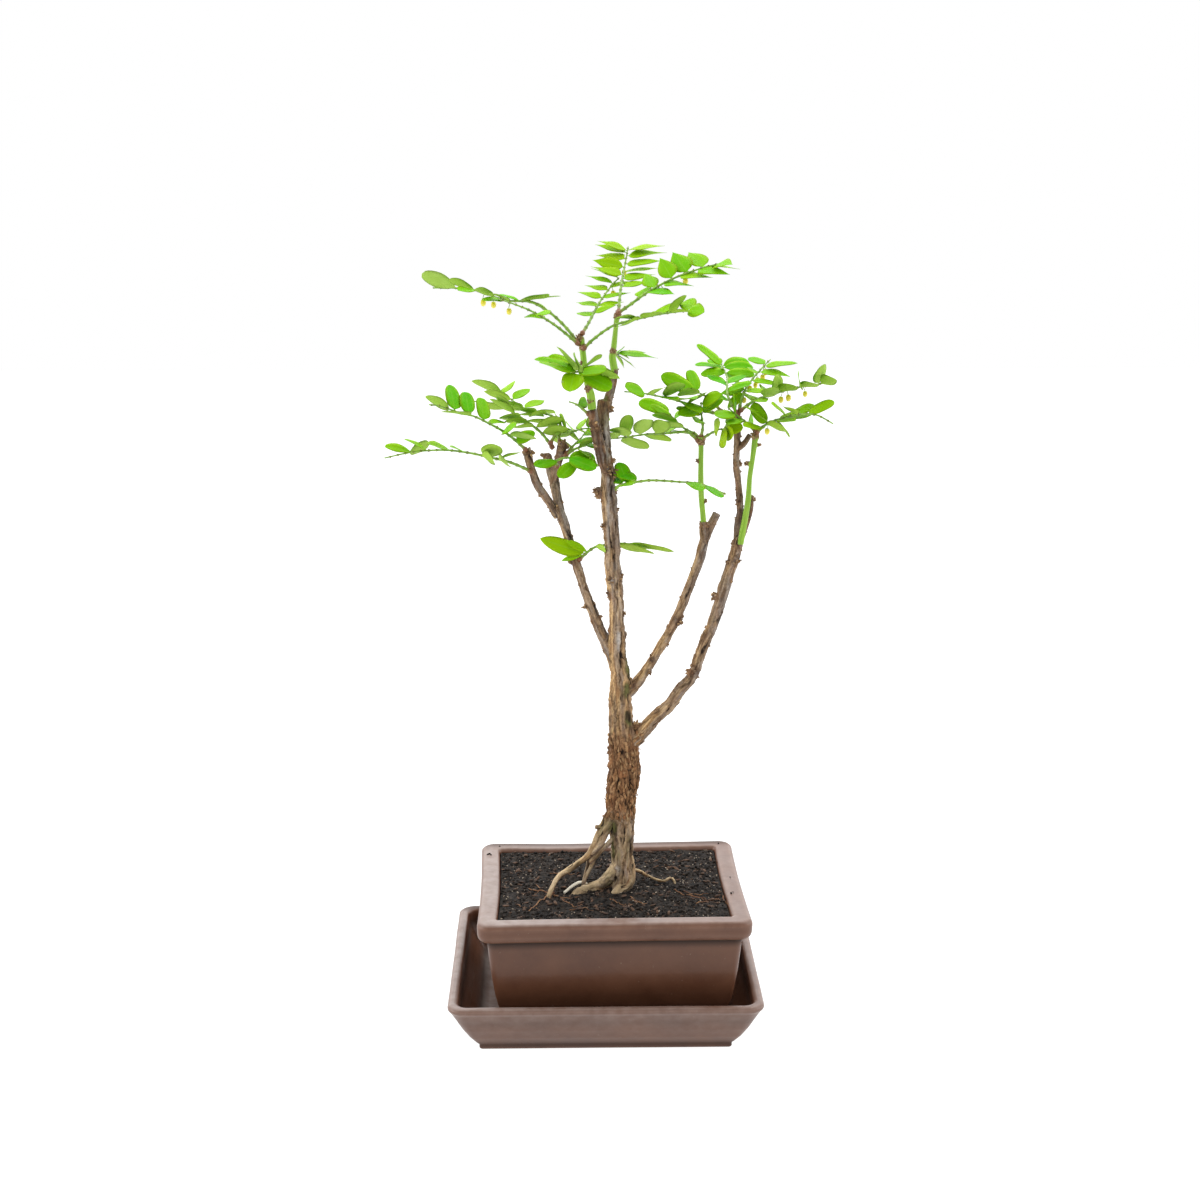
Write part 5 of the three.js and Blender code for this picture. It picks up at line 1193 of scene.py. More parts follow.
# A stem point is x, y, z, and the face is the way the spray's upper side looks. A leaf row is its place
# along the stem from 0 to 1, its angle off the stem (minus is the left), its rise towards the face and its
# roll in degrees, and its length. A bud row is its place along the stem and how far it hangs.
sprayTable = {
    "crown_left_upper": {"stem": [
        [-14.5, -5, 388.5], [-21, -5, 396.5], [-29.5, -3, 404], [-39.5, 0, 409], [-52.5, 4, 409.5],
        [-68.5, 8, 414.5], [-79.5, 10, 415.5], [-92, 12, 415.5],
    ], "face": [0, -0.15, 1], "buds": [[0.51, 6], [0.62, 4.5], [0.68, 5.5]], "leaves": [
        [0.85, -20, 25, 65, 20], [0.74, -30, 20, 45, 15], [0.72, -65, 10, 0, 16],
        [0.61, -60, 20, 40, 16], [0.51, -70, 25, 0, 17], [0.55, -70, 10, 0, 17], [0.44, 0, 20, 0, 12],
        [0.44, 170, 5, -10, 21], [0.46, 130, 0, -30, 19], [0.38, 115, -20, 15, 17],
    ]},
    "crown_left_lower": {"stem": [
        [-14.5, -8, 388], [-26.5, -12, 398], [-38, -18, 405.5], [-47.5, -24, 410], [-55, -29, 413],
    ], "face": [0, 0, 1], "leaves": [[0.42, 80, 0, -40, 17], [0.54, -80, 5, 50, 16]]},
    "crown_back_left": {
        "stem": [[-11.5, -5, 393], [-8, 1, 398], [-2, 14, 407.5], [5, 28, 415.5], [9, 34, 419]],
        "face": [0, -0.8, 1], "buds": [[0.87, 5.5]], "leaves": [
        [0.27, -55, -30, 5, 16], [0.43, -65, -20, 10, 16], [0.58, -90, 0, 5, 14],
        [0.74, -80, -10, 10, 15], [0.88, -90, 0, 15, 16], [1, -90, 0, 20, 17], [0.31, 60, 20, -15, 13],
        [0.43, 55, 5, -20, 14], [0.58, 55, 10, -15, 15], [0.79, 30, 0, -15, 15],
    ]},
    "crown_back": {
        "stem": [[8, 4, 403.5], [9.5, 18, 414.5], [11.5, 32, 422.5], [13.5, 44, 430.5], [14.5, 50, 435]],
        "face": [0, -0.8, 1], "buds": [[0.69, 2.5]], "leaves": [
        [0.94, -95, 25, 15, 17], [0.91, -80, 5, 15, 18], [0.81, -75, -5, 5, 17],
        [0.68, -80, 0, -20, 18], [0.55, -80, 5, 0, 18], [0.95, 95, 20, -25, 21],
        [0.86, 90, 15, -15, 22], [0.73, 90, 15, -5, 20], [0.6, 70, 5, -25, 19], [0.48, 70, 5, 0, 18],
        [0.34, 70, 5, -15, 16],
    ]},
    "crown_right": {"stem": [
        [8, 2, 403], [14.5, 2, 407.5], [24.5, 2, 414.5], [38.5, 4, 421.5], [53.5, 6, 426.5],
        [67, 8, 429.5],
    ], "face": [0, -0.3, 1], "buds": [[0.42, 3], [0.63, 3.5]], "leaves": [
        [0.35, -85, 10, 15, 16], [0.51, -85, 25, 0, 17], [0.65, -95, 20, -5, 19],
        [0.79, -100, 10, 0, 19], [0.3, 55, -5, -20, 17], [0.43, 40, -10, -15, 17],
        [0.57, 30, -10, -5, 18], [0.73, 40, -5, -5, 19], [0.84, 10, -15, -20, 16],
        [0.9, 70, 20, 10, 16], [0.2, -50, -10, 10, 16],
    ]},
    "crown_front_right": {"stem": [
        [-10.5, -9, 385.5], [-6.5, -10, 389.5], [1, -13, 395.5], [8, -15, 399], [23.5, -19, 403],
        [33, -22, 405], [44, -25, 406.5],
    ], "face": [0, -0.2, 1], "leaves": [
        [0.53, 115, 25, 5, 17], [0.57, 120, 10, 25, 19], [0.57, 30, 15, -30, 16],
        [0.66, -65, -10, 5, 17], [0.7, -45, 5, 15, 16], [0.82, -45, 25, -70, 13],
        [0.99, -95, 10, 0, 17], [0.99, 50, 10, 40, 17], [0.85, 40, 10, -25, 16],
    ]},
    "crown_front": {
        "stem": [[-10, -8, 369.5], [-11.5, -16, 373], [-14, -28, 375], [-17, -40, 376]],
        "face": [0, -0.7, 1], "leaves": [
        [0.75, 40, 40, -10, 19], [0.75, 95, 15, -40, 17], [0.91, 95, 10, -10, 22], [1, 60, 10, -15, 18],
        [0.89, -10, -25, 0, 17], [0.66, -5, 30, -45, 17], [0.67, -155, 30, -40, 19],
        [0.67, -100, -15, 45, 19], [0.49, -90, 5, -25, 21], [0.67, -65, 15, 40, 17],
    ]},
    "crown_back_right": {
        "stem": [[5.5, 4, 380.5], [8, 12, 380], [11.5, 22, 379.5], [15, 34, 379]],
        "face": [0, -0.3, 1], "leaves": [
        [0.19, 85, 5, 15, 22], [0.14, 35, -25, 10, 16], [0.28, 10, -10, 10, 15], [0.13, 0, 15, -35, 16],
        [0.25, 45, 5, 10, 17], [0.06, 10, -25, 20, 16],
    ]},
    "crown_twig": {
        "stem": [[-8.5, -6, 349.5], [-13, -7, 353.5], [-16, -8, 355.5], [-19, -8.5, 356.5]],
        "face": [0, -0.6, 1], "leaves": [[0.6, 125, -5, 20, 12]]},
    "left_low": {"stem": [
        [-40.5, 3, 317], [-51, -2, 322.5], [-62, -6, 326], [-73, -9, 329], [-85, -12, 331],
        [-97, -14, 331], [-106, -15, 330], [-118, -16, 327.5],
    ], "face": [0, -0.2, 1], "leaves": [
        [0.82, 5, 25, -15, 14], [0.72, 10, 30, 5, 13], [0.84, 130, -5, -60, 17],
        [0.57, -35, 20, -15, 17], [0.47, -45, 20, -5, 16], [0.35, -105, 40, -25, 19],
        [0.36, -100, 15, -50, 17], [0.24, -130, 40, -5, 14], [0.24, -90, 15, -40, 17],
    ]},
    "left_mid": {"stem": [
        [-43, 3, 329], [-49, 0, 335], [-55, -3, 340], [-62.5, -5, 344.5], [-70, -7, 348.5],
        [-77, -8, 350.5], [-88, -10, 354.5], [-94, -11, 355.5],
    ], "face": [0, -0.3, 1], "leaves": [
        [0.8, 35, -5, 65, 16], [0.76, 75, 20, 0, 19], [0.63, 80, 20, -5, 17], [0.48, 75, 20, -15, 17],
        [0.6, -25, 5, 40, 19], [0.42, 125, 0, -25, 16], [0.28, -80, 35, 90, 17],
        [0.13, -105, 55, 120, 13], [0.2, -105, 35, 0, 18],
    ]},
    "left_back": {"stem": [
        [-28.5, 14, 328.5], [-33.5, 16, 335], [-39, 18, 339.5], [-45, 20, 343.5], [-51, 22, 347],
        [-57, 24, 349.5], [-65.5, 27, 351.5], [-77.5, 30, 351.5],
    ], "face": [0, -0.3, 1], "leaves": [
        [0.56, -20, -5, 65, 14], [0.53, -45, 45, 60, 15], [0.46, -30, 20, 60, 17],
        [0.39, -65, 15, 70, 19], [0.3, -55, 10, 65, 17], [0.25, -65, 10, 65, 17],
        [0.46, 125, -5, -50, 18], [0.35, 115, -10, -60, 19], [0.24, 145, 50, -80, 16],
        [0.16, 145, 45, -100, 15], [0.58, 115, -15, -60, 15],
    ]},
    "left_far": {"stem": [
        [-24, 16, 330.5], [-26.5, 22, 341.5], [-30, 26, 344.5], [-37.5, 31, 345], [-44.5, 36, 347],
        [-51.5, 42, 351], [-56.5, 46, 354],
    ], "face": [0, -0.5, 1], "leaves": [
        [0.98, -15, 0, 80, 20], [0.85, -30, 5, 85, 16], [0.98, 65, -5, -30, 16], [0.85, 80, -5, -5, 16],
        [0.67, 90, -10, -5, 17], [0.55, 100, -25, -40, 18], [0.67, -60, 30, 60, 16],
        [0.5, -75, 35, 35, 17], [0.39, -90, 30, 40, 17],
    ]},
    "left_inner_a": {
        "stem": [[-20, 14, 325], [-16.5, 17, 328.5], [-13, 21, 331], [-10.5, 26, 333.5]],
        "face": [0, -0.3, 1], "leaves": [
        [0.28, -80, -15, 75, 17], [0.49, 90, 30, 0, 14], [0.66, -60, -10, 70, 16],
        [0.9, 25, -10, 0, 13],
    ]},
    "left_inner_b": {
        "stem": [[-20.5, 12, 324], [-16.5, 12, 327], [-13, 14, 328], [-6, 18, 329.5]],
        "face": [0, -0.3, 1],
        "leaves": [[0.54, 80, 40, -20, 17], [0.8, 85, 20, 0, 15], [0.41, 100, 10, -35, 16]]},
    "left_arc": {"stem": [
        [-29, 12, 331], [-26.5, 13, 335], [-23.5, 15, 336], [-16.5, 18, 336.5], [-10.5, 20, 337.5],
        [-5, 22, 337],
    ], "face": [0, -0.3, 1], "leaves": [
        [0.32, -75, 15, 65, 17], [0.42, -80, 15, 90, 15], [0.56, -75, -10, 45, 17],
        [0.71, -65, -5, -30, 16], [0.88, 90, 60, 10, 16], [1, -40, 5, -85, 16],
        [0.42, -80, -30, 10, 18], [0.67, 80, 10, -35, 16], [0.88, 85, 15, 5, 17],
    ]},
    "left_front": {"stem": [
        [-25.5, 12, 318], [-26, 8, 321.5], [-20, 4, 324], [-14.5, 4, 322], [-9.5, 6, 319.5],
        [-6.5, 8, 318],
    ], "face": [-0.2, -1, 0.8], "leaves": [
        [0.22, 85, 60, -55, 17], [0.66, 120, 5, 25, 15], [0.47, 20, 15, -15, 19],
        [0.47, -25, -30, -10, 16], [0.96, 140, 55, 35, 13],
    ]},
    "middle_low": {"stem": [
        [6, -0.5, 306.5], [8, -6, 310], [13, -9, 312], [19, -12, 313.5], [26, -14, 314.5],
        [40, -16, 314], [52, -17, 313], [65.5, -18, 307.5],
    ], "face": [0, -0.2, 1], "leaves": [
        [0.13, -120, 25, 0, 16], [0.18, -115, 40, 30, 15], [0.27, -155, 20, 5, 16],
        [0.69, 65, 10, -5, 17], [0.81, 55, 10, -5, 17], [0.14, 45, 5, 0, 17],
    ]},
    "right_inner_low": {"stem": [
        [52, 12, 332], [47.5, 13, 336], [44, 14, 336.5], [34, 15, 335.5], [23.5, 15, 335],
        [13, 15, 333.5], [3.5, 15, 332.5],
    ], "face": [0, 0.4, 1], "leaves": [
        [0.84, -110, 45, 0, 14], [0.67, -105, 15, -5, 19], [0.5, -105, 10, -20, 18],
        [0.36, 105, 30, 0, 19], [0.87, 135, -10, -5, 19], [0.62, 140, -5, 5, 19],
        [0.97, -95, 0, -5, 15], [0.32, 125, 10, 20, 17], [0.78, -60, 10, 0, 17],
    ]},
    "right_inner_mid": {
        "stem": [[53, 13, 333], [50.5, 14, 335.5], [47, 15, 337], [43, 16, 339.5], [36.5, 17, 346]],
        "face": [0, -0.3, 1], "leaves": [
        [0.97, 15, -30, -30, 20], [0.84, -25, 0, -5, 15], [0.66, -35, 0, 70, 17],
        [0.48, -45, 10, 60, 17], [0.81, 95, 10, -60, 16],
    ]},
    "right_up": {
        "stem": [[54, 12, 334.5], [54.5, 9, 339.5], [54, 6, 343.5], [53, 2, 349.5], [52.5, -4, 355.5]],
        "face": [0, 0.5, 1], "leaves": [
        [0.58, 50, -15, -70, 16], [0.73, 55, -30, -70, 16], [0.42, 15, -45, -45, 16],
        [0.73, -45, 5, 90, 16], [0.67, -50, -5, 90, 15], [0.93, -35, -15, 90, 17],
    ]},
    "right_left_up": {
        "stem": [[64, 8, 349], [58.5, 9, 355.5], [54.5, 10, 357.5], [50.5, 11, 359.5]],
        "face": [0, -0.3, 1], "leaves": [
        [0.99, -25, 10, -30, 21], [0.96, 50, 10, -10, 16], [0.84, -55, 10, 65, 17],
        [0.61, 120, -10, -10, 17],
    ]},
    "right_long_left": {"stem": [
        [63.5, 5, 347.5], [51.5, 3, 350.5], [43, 2, 354.5], [34.5, 1, 357], [25.5, 0, 359],
        [20.5, -1, 360], [11, -2, 361],
    ], "face": [0, -0.3, 1], "leaves": [
        [0.79, -35, 20, -35, 17], [0.72, -100, 40, 20, 17], [0.6, -125, 55, -15, 17],
        [0.47, -110, 35, 5, 19], [0.35, -120, 65, 20, 15], [0.64, -110, 25, 5, 17],
        [0.41, -115, 15, 10, 18],
    ]},
    "right_short": {
        "stem": [[55, 11, 333.5], [59, 6, 337], [63, 0, 340], [67, -5, 340.5]],
        "face": [-0.2, -1, 0.6], "leaves": [
        [0.8, -15, -10, 20, 12], [0.8, 45, 15, 25, 17], [0.87, 20, 20, 35, 16], [0.47, 5, 25, 10, 16],
    ]},
    "right_rosette": {"stem": [
        [72.5, 6, 348.5], [68.5, 12, 356], [68.5, 22, 361.5], [69.5, 34, 364.5], [67.5, 50, 369.5],
    ], "face": [0, -0.6, 1], "leaves": [
        [0.95, -65, 40, 0, 18], [0.98, -20, -5, -20, 13], [0.91, -55, 0, 5, 16],
        [0.85, -125, 35, 0, 15], [0.75, -50, -10, -25, 16], [0.79, 15, -30, 55, 17],
        [0.95, 70, -5, 25, 18], [0.9, 85, -5, 20, 17], [0.77, 90, -5, 25, 16], [0.4, -40, 0, 15, 16],
        [0.44, 40, 0, -10, 16], [0.3, 100, 30, 0, 14], [0.75, 50, -40, 40, 17],
    ]},
    "right_upper": {
        "stem": [[73.5, 5, 348], [76.5, 10, 357.5], [81, 18, 363.5], [89, 28, 370.5], [93.5, 33, 374]],
        "face": [0, -0.6, 1],
        "buds": [[0.26, 2.5], [0.51, 3.5], [0.66, 7], [0.7, 4], [0.84, 7], [0.88, 3.5]], "leaves": [
        [0.85, 70, 20, -15, 19], [0.72, 80, 10, -15, 18], [0.53, 80, 10, -10, 15],
        [0.32, 100, 25, -10, 13], [0.89, -70, -20, 5, 16], [0.67, -45, -25, 20, 16],
        [0.48, -70, -35, 0, 16], [0.29, -120, -50, -55, 14], [0.35, -85, -30, -20, 16],
    ]},
    "right_long": {"stem": [
        [75, 4, 350], [82, 4, 355], [89.5, 5, 357.5], [98, 6, 360], [107, 7, 362], [117.5, 8, 363.5],
        [122.5, 9, 364],
    ], "face": [0, 0, 1], "buds": [[0.48, 4], [0.56, 4], [0.74, 4]], "leaves": [
        [0.28, 70, 20, -35, 17], [0.32, -80, 10, 45, 16], [0.48, 110, 50, 45, 15],
        [0.48, 70, 15, -35, 17], [0.69, 100, 35, -85, 16], [0.7, 65, 10, -35, 16],
        [0.9, 90, 50, 20, 16], [0.92, 75, 15, -50, 17], [0.18, 75, 0, -10, 15], [0.15, -85, 10, 45, 16],
    ]},
    "right_low": {"stem": [
        [83.5, -2, 339], [89, -5, 344], [97.5, -8, 347.5], [105, -10, 349.5], [114, -12, 349.5],
        [123, -14, 345],
    ], "face": [0, -0.4, 1], "buds": [[0.16, 3.5]], "leaves": [
        [0.3, -30, -20, 10, 19], [0.28, 55, -40, -85, 12], [0.67, -35, 10, 10, 16],
        [0.48, -45, -10, 15, 16], [0.19, -170, 65, 30, 16], [0.28, 40, 10, -20, 17],
        [0.42, 105, 60, -55, 17], [0.54, 105, 45, -10, 17], [0.09, 90, 45, -65, 17],
        [0.17, -115, 30, -25, 17], [0.15, 45, -10, -85, 17],
    ]},
    "right_between": {
        "stem": [[82.5, 0, 339], [77, 0, 344], [71.5, -2, 348.5], [67, -6, 352.5]],
        "face": [0, -0.5, 1], "leaves": [
        [0.69, -30, -15, 10, 17], [0.73, 100, 20, 25, 15], [0.45, -55, 0, 35, 17],
        [0.25, 95, -15, 40, 16],
    ]},
    "low_twig": {"stem": [
        [-13, 9, 266], [-8.5, 7.6, 270.5], [-4.5, 8, 273], [0, 10, 273.5], [10.5, 15, 273.5],
        [20.5, 16, 272],
    ], "face": [0, -0.2, 1], "leaves": [
        [0.16, 175, 75, -50, 13], [0.1, 145, 35, -30, 13], [0.12, 165, 65, -60, 26],
        [0.56, 30, -5, -45, 24], [0.77, 25, 5, -45, 28], [0.3, 85, 15, -90, 15],
    ]},
}
# How the leaves of a spray differ: where the widest place is along the blade, how pointed the tip is (0.4 is
# blunt and 1.1 or more is sharp), width over length, and how lime they are, from 0 for green to 1 for lime:
# young leaves, and painted light shining through the leaves lit from behind
plainLook = [0.5, 0.5, 0.5, 0.25]
sprayLooks = {
    "crown_left_upper": [0.6, 0.45, 0.46, 0.25], "crown_left_lower": [0.5, 0.6, 0.42, 0.35],
    "crown_back_left": [0.3, 1.35, 0.46, 0.45], "crown_back": [0.28, 1.5, 0.46, 0.6],
    "crown_right": [0.28, 1.4, 0.6, 0.3], "crown_front_right": [0.42, 0.7, 0.5, 0.4],
    "crown_front": [0.5, 0.5, 0.64, 0.3], "crown_back_right": [0.3, 1.4, 0.42, 0.3],
    "left_low": [0.5, 0.55, 0.52, 0.4], "left_mid": [0.42, 0.5, 0.5, 0.15],
    "left_back": [0.5, 0.6, 0.46, 0.45], "left_far": [0.42, 0.9, 0.44, 0.45],
    "left_front": [0.52, 0.45, 0.54, 0.05], "left_arc": [0.5, 0.6, 0.5, 0.5],
    "middle_low": [0.48, 0.5, 0.6, 0.05], "right_inner_low": [0.5, 0.5, 0.56, 0.4],
    "right_inner_mid": [0.52, 0.5, 0.46, 0.3], "right_up": [0.48, 0.6, 0.5, 0.3],
    "right_left_up": [0.55, 0.45, 0.5, 0.2], "right_long_left": [0.48, 0.5, 0.56, 0.3],
    "right_short": [0.5, 0.5, 0.6, 1.0], "right_rosette": [0.5, 0.5, 0.5, 0.05],
    "right_upper": [0.4, 0.85, 0.44, 0.3], "right_long": [0.42, 0.6, 0.54, 0.5],
    "right_low": [0.5, 0.55, 0.48, 0.6], "low_twig": [0.52, 0.7, 0.36, 0.6],
}
# Layers lie over a side's two tones, each by a mask and a share: young leaves and painted light shining
# through leaves lit from behind are lime, the rim is yellower, and the midrib and side veins are pale
leafValues = {
    "fold": 0.12, "droop": 0.05, "petiole": 0.5, "start": 0.25, "thickness": 0.28, "rings": 12,
    "stalkHalfWidth": 0.3, "twist": 10, "curl": 0.035, "sway": 0.05, "lopsided": 0.13, "ribDepth": 0.12,
    "ripple": 0.02, "sideVeins": 9, "veinLean": 0.16, "ribHalfWidth": 0.12, "veinHalfWidth": 0.3,
    "upper": {
        "tones": ("#3aa300", "#74b305"), "roughness": 0.5, "specular": 0.04,
        "layers": [
            ("tint", "#9cbb08", 0.9), ("rim", "#a6c51e", 0.8), ("rib", "#93c24a", 0.22),
            ("veins", "#93c24a", 0.08),
        ],
    },
    "under": {
        "tones": ("#7fa726", "#a9c966"), "roughness": 0.65, "specular": 0.03,
        "layers": [("tint", "#9cbb08", 0.45), ("veins", "#93c24a", 0.2)],
    },
}
stemValues = {
    "rootRadius": 0.85, "tipRadius": 0.34, "sides": 8, "step": 1.1, "nodeStep": 4.2, "swell": 0.35,
    "sunk": 1.6, "green": "#5f8a1c", "greenLight": "#86b03a", "scale": "#4a2818", "scaleLight": "#7d4e33",
}
budValues = {
    "halfWidth": 1.35, "halfLength": 1.9, "lobes": 5, "lobeDepth": 0.13, "pedicel": 0.2, "drop": 0.62,
    "yellow": "#dcc91c", "yellowPale": "#efe569", "yellowGreen": "#a9bc2a",
}
leafTop, leafUnder, stemSkin, brownScale, budSkin = range(5)    # places in the sprays' list of materials


# Point and direction at a share of a path's length
def pathAt(centres, tangents, along, share):
    at = share * along[-1]
    point = np.stack([np.interp(at, along, centres[:, k]) for k in range(3)], -1)
    return point, unit(np.stack([np.interp(at, along, tangents[:, k]) for k in range(3)], -1))


# Half width of a blade from 0 to 1 along its length: after a short stalk, u to one power times 1 - u to
# another, with the powers' ratio set so that the widest place is at the peak, and scaled to 1 there
def leafWidth(u, peak, tip):
    blade = np.clip((u - 0.05) / 0.95, 0, 1)
    power = tip * peak / (1 - peak)
    highest = peak ** power * (1 - peak) ** tip
    return blade ** power * (1 - blade) ** tip / highest


# Leaves of one spray. A blade's edges rise from the midrib, its tip droops, and it bends, twists and sways a
# little. Each ring is a flat loop of eight points: out at one edge, back over the other, above and below.
def leafPart(path, face, rows, look):
    values = leafValues
    centres, tangents, _, along = path
    place, angle, rise, roll, length = np.array(rows, float).T
    angle, rise, roll = np.radians(angle), np.radians(rise), np.radians(roll)
    stalk, tangent = pathAt(centres, tangents, along, place)
    up = unit(face - tangent * (tangent @ face)[:, None])
    across = np.cross(tangent, up)
    flat = tangent * np.cos(angle)[:, None] + across * np.sin(angle)[:, None]
    direction = flat * np.cos(rise)[:, None] + up * np.sin(rise)[:, None]
    normal = up * np.cos(rise)[:, None] - flat * np.sin(rise)[:, None]
    normal = normal * np.cos(roll)[:, None] + np.cross(direction, normal) * np.sin(roll)[:, None]
    across = np.cross(direction, normal)
    count, length = len(rows), length[:, None]

    def vary(amount):
        return amount * random.uniform(-1, 1, count)[:, None]

    peak, tip, share, youthAndBacklight = look
    peak, tip = peak + vary(0.05), tip * (1 + vary(0.15))
    twist, curl = np.radians(vary(values["twist"])), vary(values["curl"])
    fold = values["fold"] * (1.2 + vary(0.7))
    sway, lopsided, wave = vary(values["sway"]), vary(values["lopsided"]), vary(math.pi)
    half = share * length / 2 * (1 + vary(0.07))
    even = np.linspace(0, 1, values["rings"])
    u = (0.72 * (1 - np.cos(even * math.pi)) / 2 + 0.28 * even)[None]    # closer together near the ends
    side = np.array([1, 0.52, 0, -0.52, -1, -0.52, 0, 0.52])
    upper = np.array([0, -1, -1, -1, 0, 1, 1, 1])    # minus on the under side
    width = half * leafWidth(u, peak, tip)
    width = np.maximum(width, values["stalkHalfWidth"] * np.clip((1 - u) / 0.1, 0.25, 1))[..., None]
    blade = np.clip(width / half[..., None], 0, 1)
    v = side * width * (1 + lopsided[..., None] * np.sign(side) * (1 - u[..., None]))
    thin = values["thickness"] / 2 * np.clip(1.4 - u, 0.5, 1)[..., None] * upper
    rib = values["ribDepth"] * np.clip(1 - 3 * np.abs(side), 0, 1) * np.where(upper > 0, -0.7, -1.0)
    bend = length * (u ** 2 * values["droop"] + curl * (u ** 2.5 + 0.3 * np.sin(math.pi * u)))
    ripple = values["ripple"] * length * np.sin(u * 7 + wave)
    lift = (np.abs(v) * fold[..., None] + thin + rib * np.clip(1 - u, 0, 1)[..., None] - bend[..., None]
            + ripple[..., None] * side * np.abs(side) * blade)
    v = v + (sway * length * u ** 2)[..., None]
    turn = (twist * u ** 1.5)[..., None]
    root = stalk + values["start"] * direction
    reach = u * (length + values["petiole"])
    rings = (root[:, None, None] + direction[:, None, None] * reach[..., None, None]
             + across[:, None, None] * (v * np.cos(turn))[..., None]
             + normal[:, None, None] * (lift + v * np.sin(turn))[..., None])
    walls = np.tile(np.repeat([leafUnder, leafTop], 4), values["rings"] - 1)
    material = np.concatenate([walls, np.full(len(side) - 2, leafTop)])
    tone = random.uniform(0, 1, count)[:, None, None]
    spot = np.stack(np.broadcast_arrays(u[..., None], side[None, None], tone), -1)
    # Lime share of each leaf: young growth, and painted light shining through from behind
    tint = np.clip(youthAndBacklight + vary(0.15), 0, 1)[..., None]
    tint = np.broadcast_to(tint, rings.shape[:3])
    marks = {"leafPlace": np.broadcast_to(spot, rings.shape), "tint": tint, "brown": 0}
    return loftPart(rings, material, marks)


def emptyMarks():
    return {"leafPlace": np.zeros(3), "tint": 0, "brown": 0}


# The green stem thins to its tip, swells at each node, where a pair of brown scales sits, and is thicker and
# brown where it leaves the wood. Swellings and brown fade as bell curves along it.
def stemPart(path):
    values = stemValues
    centres, tangents, _, along = path
    run = np.r_[-values["sunk"], along]
    outside = np.clip(run, 0, None)
    spine = np.vstack([centres[0] - tangents[0] * values["sunk"], centres])
    ways = np.vstack([tangents[:1], tangents])
    share = np.clip(run / along[-1], 0, 1)
    fromNode = ((run / values["nodeStep"] + 0.5) % 1 - 0.5) * values["nodeStep"]
    radius = values["rootRadius"] + (values["tipRadius"] - values["rootRadius"]) * share ** 0.8
    radius = radius * (1 + values["swell"] * np.exp(-(fromNode / 0.7) ** 2))
    radius = radius * (1 + 0.35 * np.exp(-outside / 1.6))
    brown = np.exp(-(outside / 2.2) ** 2) + 0.35 * np.exp(-(fromNode / 0.5) ** 2)
    guide = [0.1, 0.2, 1] if abs(ways[0, 2]) < 0.9 else [1, 0.2, 0]
    spot = np.stack([run, 0 * run, 0 * run], -1)[:, None]
    marks = {"leafPlace": np.broadcast_to(spot, (1, len(run), values["sides"], 3)), "tint": 0,
             "brown": brown[:, None]}
    stem = loftPart(tubeRings(spine, ways, radius, values["sides"], guide), stemSkin, marks)
    at = np.arange(values["nodeStep"], along[-1] - 0.5, values["nodeStep"])
    spot, way = pathAt(centres, tangents, along, at / along[-1])
    local = np.interp(at, run, radius)[:, None]
    out = unit(np.cross(way, [0.1, 1, 0.15]))
    scales = []
    for sign in (1, -1):
        lean = unit(0.45 * sign * out + way + random.normal(0, 0.25, out.shape))
        flat = unit(np.cross(lean, out))
        size = random.uniform(0.75, 1.2, (len(at), 1))
        axes = np.stack([flat * 0.3 * size, np.cross(lean, flat) * 0.24 * size, lean * 0.5 * size], 1)
        rings = lumpRings(spot + sign * out * local * 0.85, axes, 0.3, 4, 6)
        scales.append(loftPart(rings, brownScale, emptyMarks()))
    return [stem, *scales]


# Flower buds: a thin stalk straight down, and a round bud of blunt lobes that narrows to its tip
def budParts(path, rows):
    values = budValues
    centres, tangents, _, along = path
    fall = np.linspace(0, 1, 7)
    down = np.linspace(0, math.pi, 9)[1:-1]
    spin = np.arange(10) / 10 * 2 * math.pi
    lobed = 1 + values["lobeDepth"] * np.cos(values["lobes"] * spin)
    swell = (np.sin(down) ** 0.8 * (1.08 - 0.16 * down / math.pi))[:, None]
    marks = {**emptyMarks(), "tint": (down / math.pi)[:, None]}
    parts = []
    for place, drop in rows:
        start = pathAt(centres, tangents, along, np.array([place]))[0][0]
        lean = 0.5 * np.sin(fall * 3 + place * 40)
        spine = start + np.stack([lean, 0 * fall, -fall * drop * values["drop"]], -1)
        radii = np.full(len(spine), values["pedicel"])
        rings = tubeRings(spine, unit(np.gradient(spine, axis=0)), radii, 6, [1, 0, 0])
        parts.append(loftPart(rings, stemSkin, emptyMarks()))
        size = random.uniform(0.88, 1.1)
        radius = values["halfWidth"] * size * swell * lobed
        z = -values["halfLength"] * size * (1 - np.cos(down))[:, None] + 0 * spin
        bud = np.stack([radius * np.cos(spin), radius * np.sin(-spin), z], -1)
        parts.append(loftPart(spine[-1] + bud, budSkin, marks))
    return parts


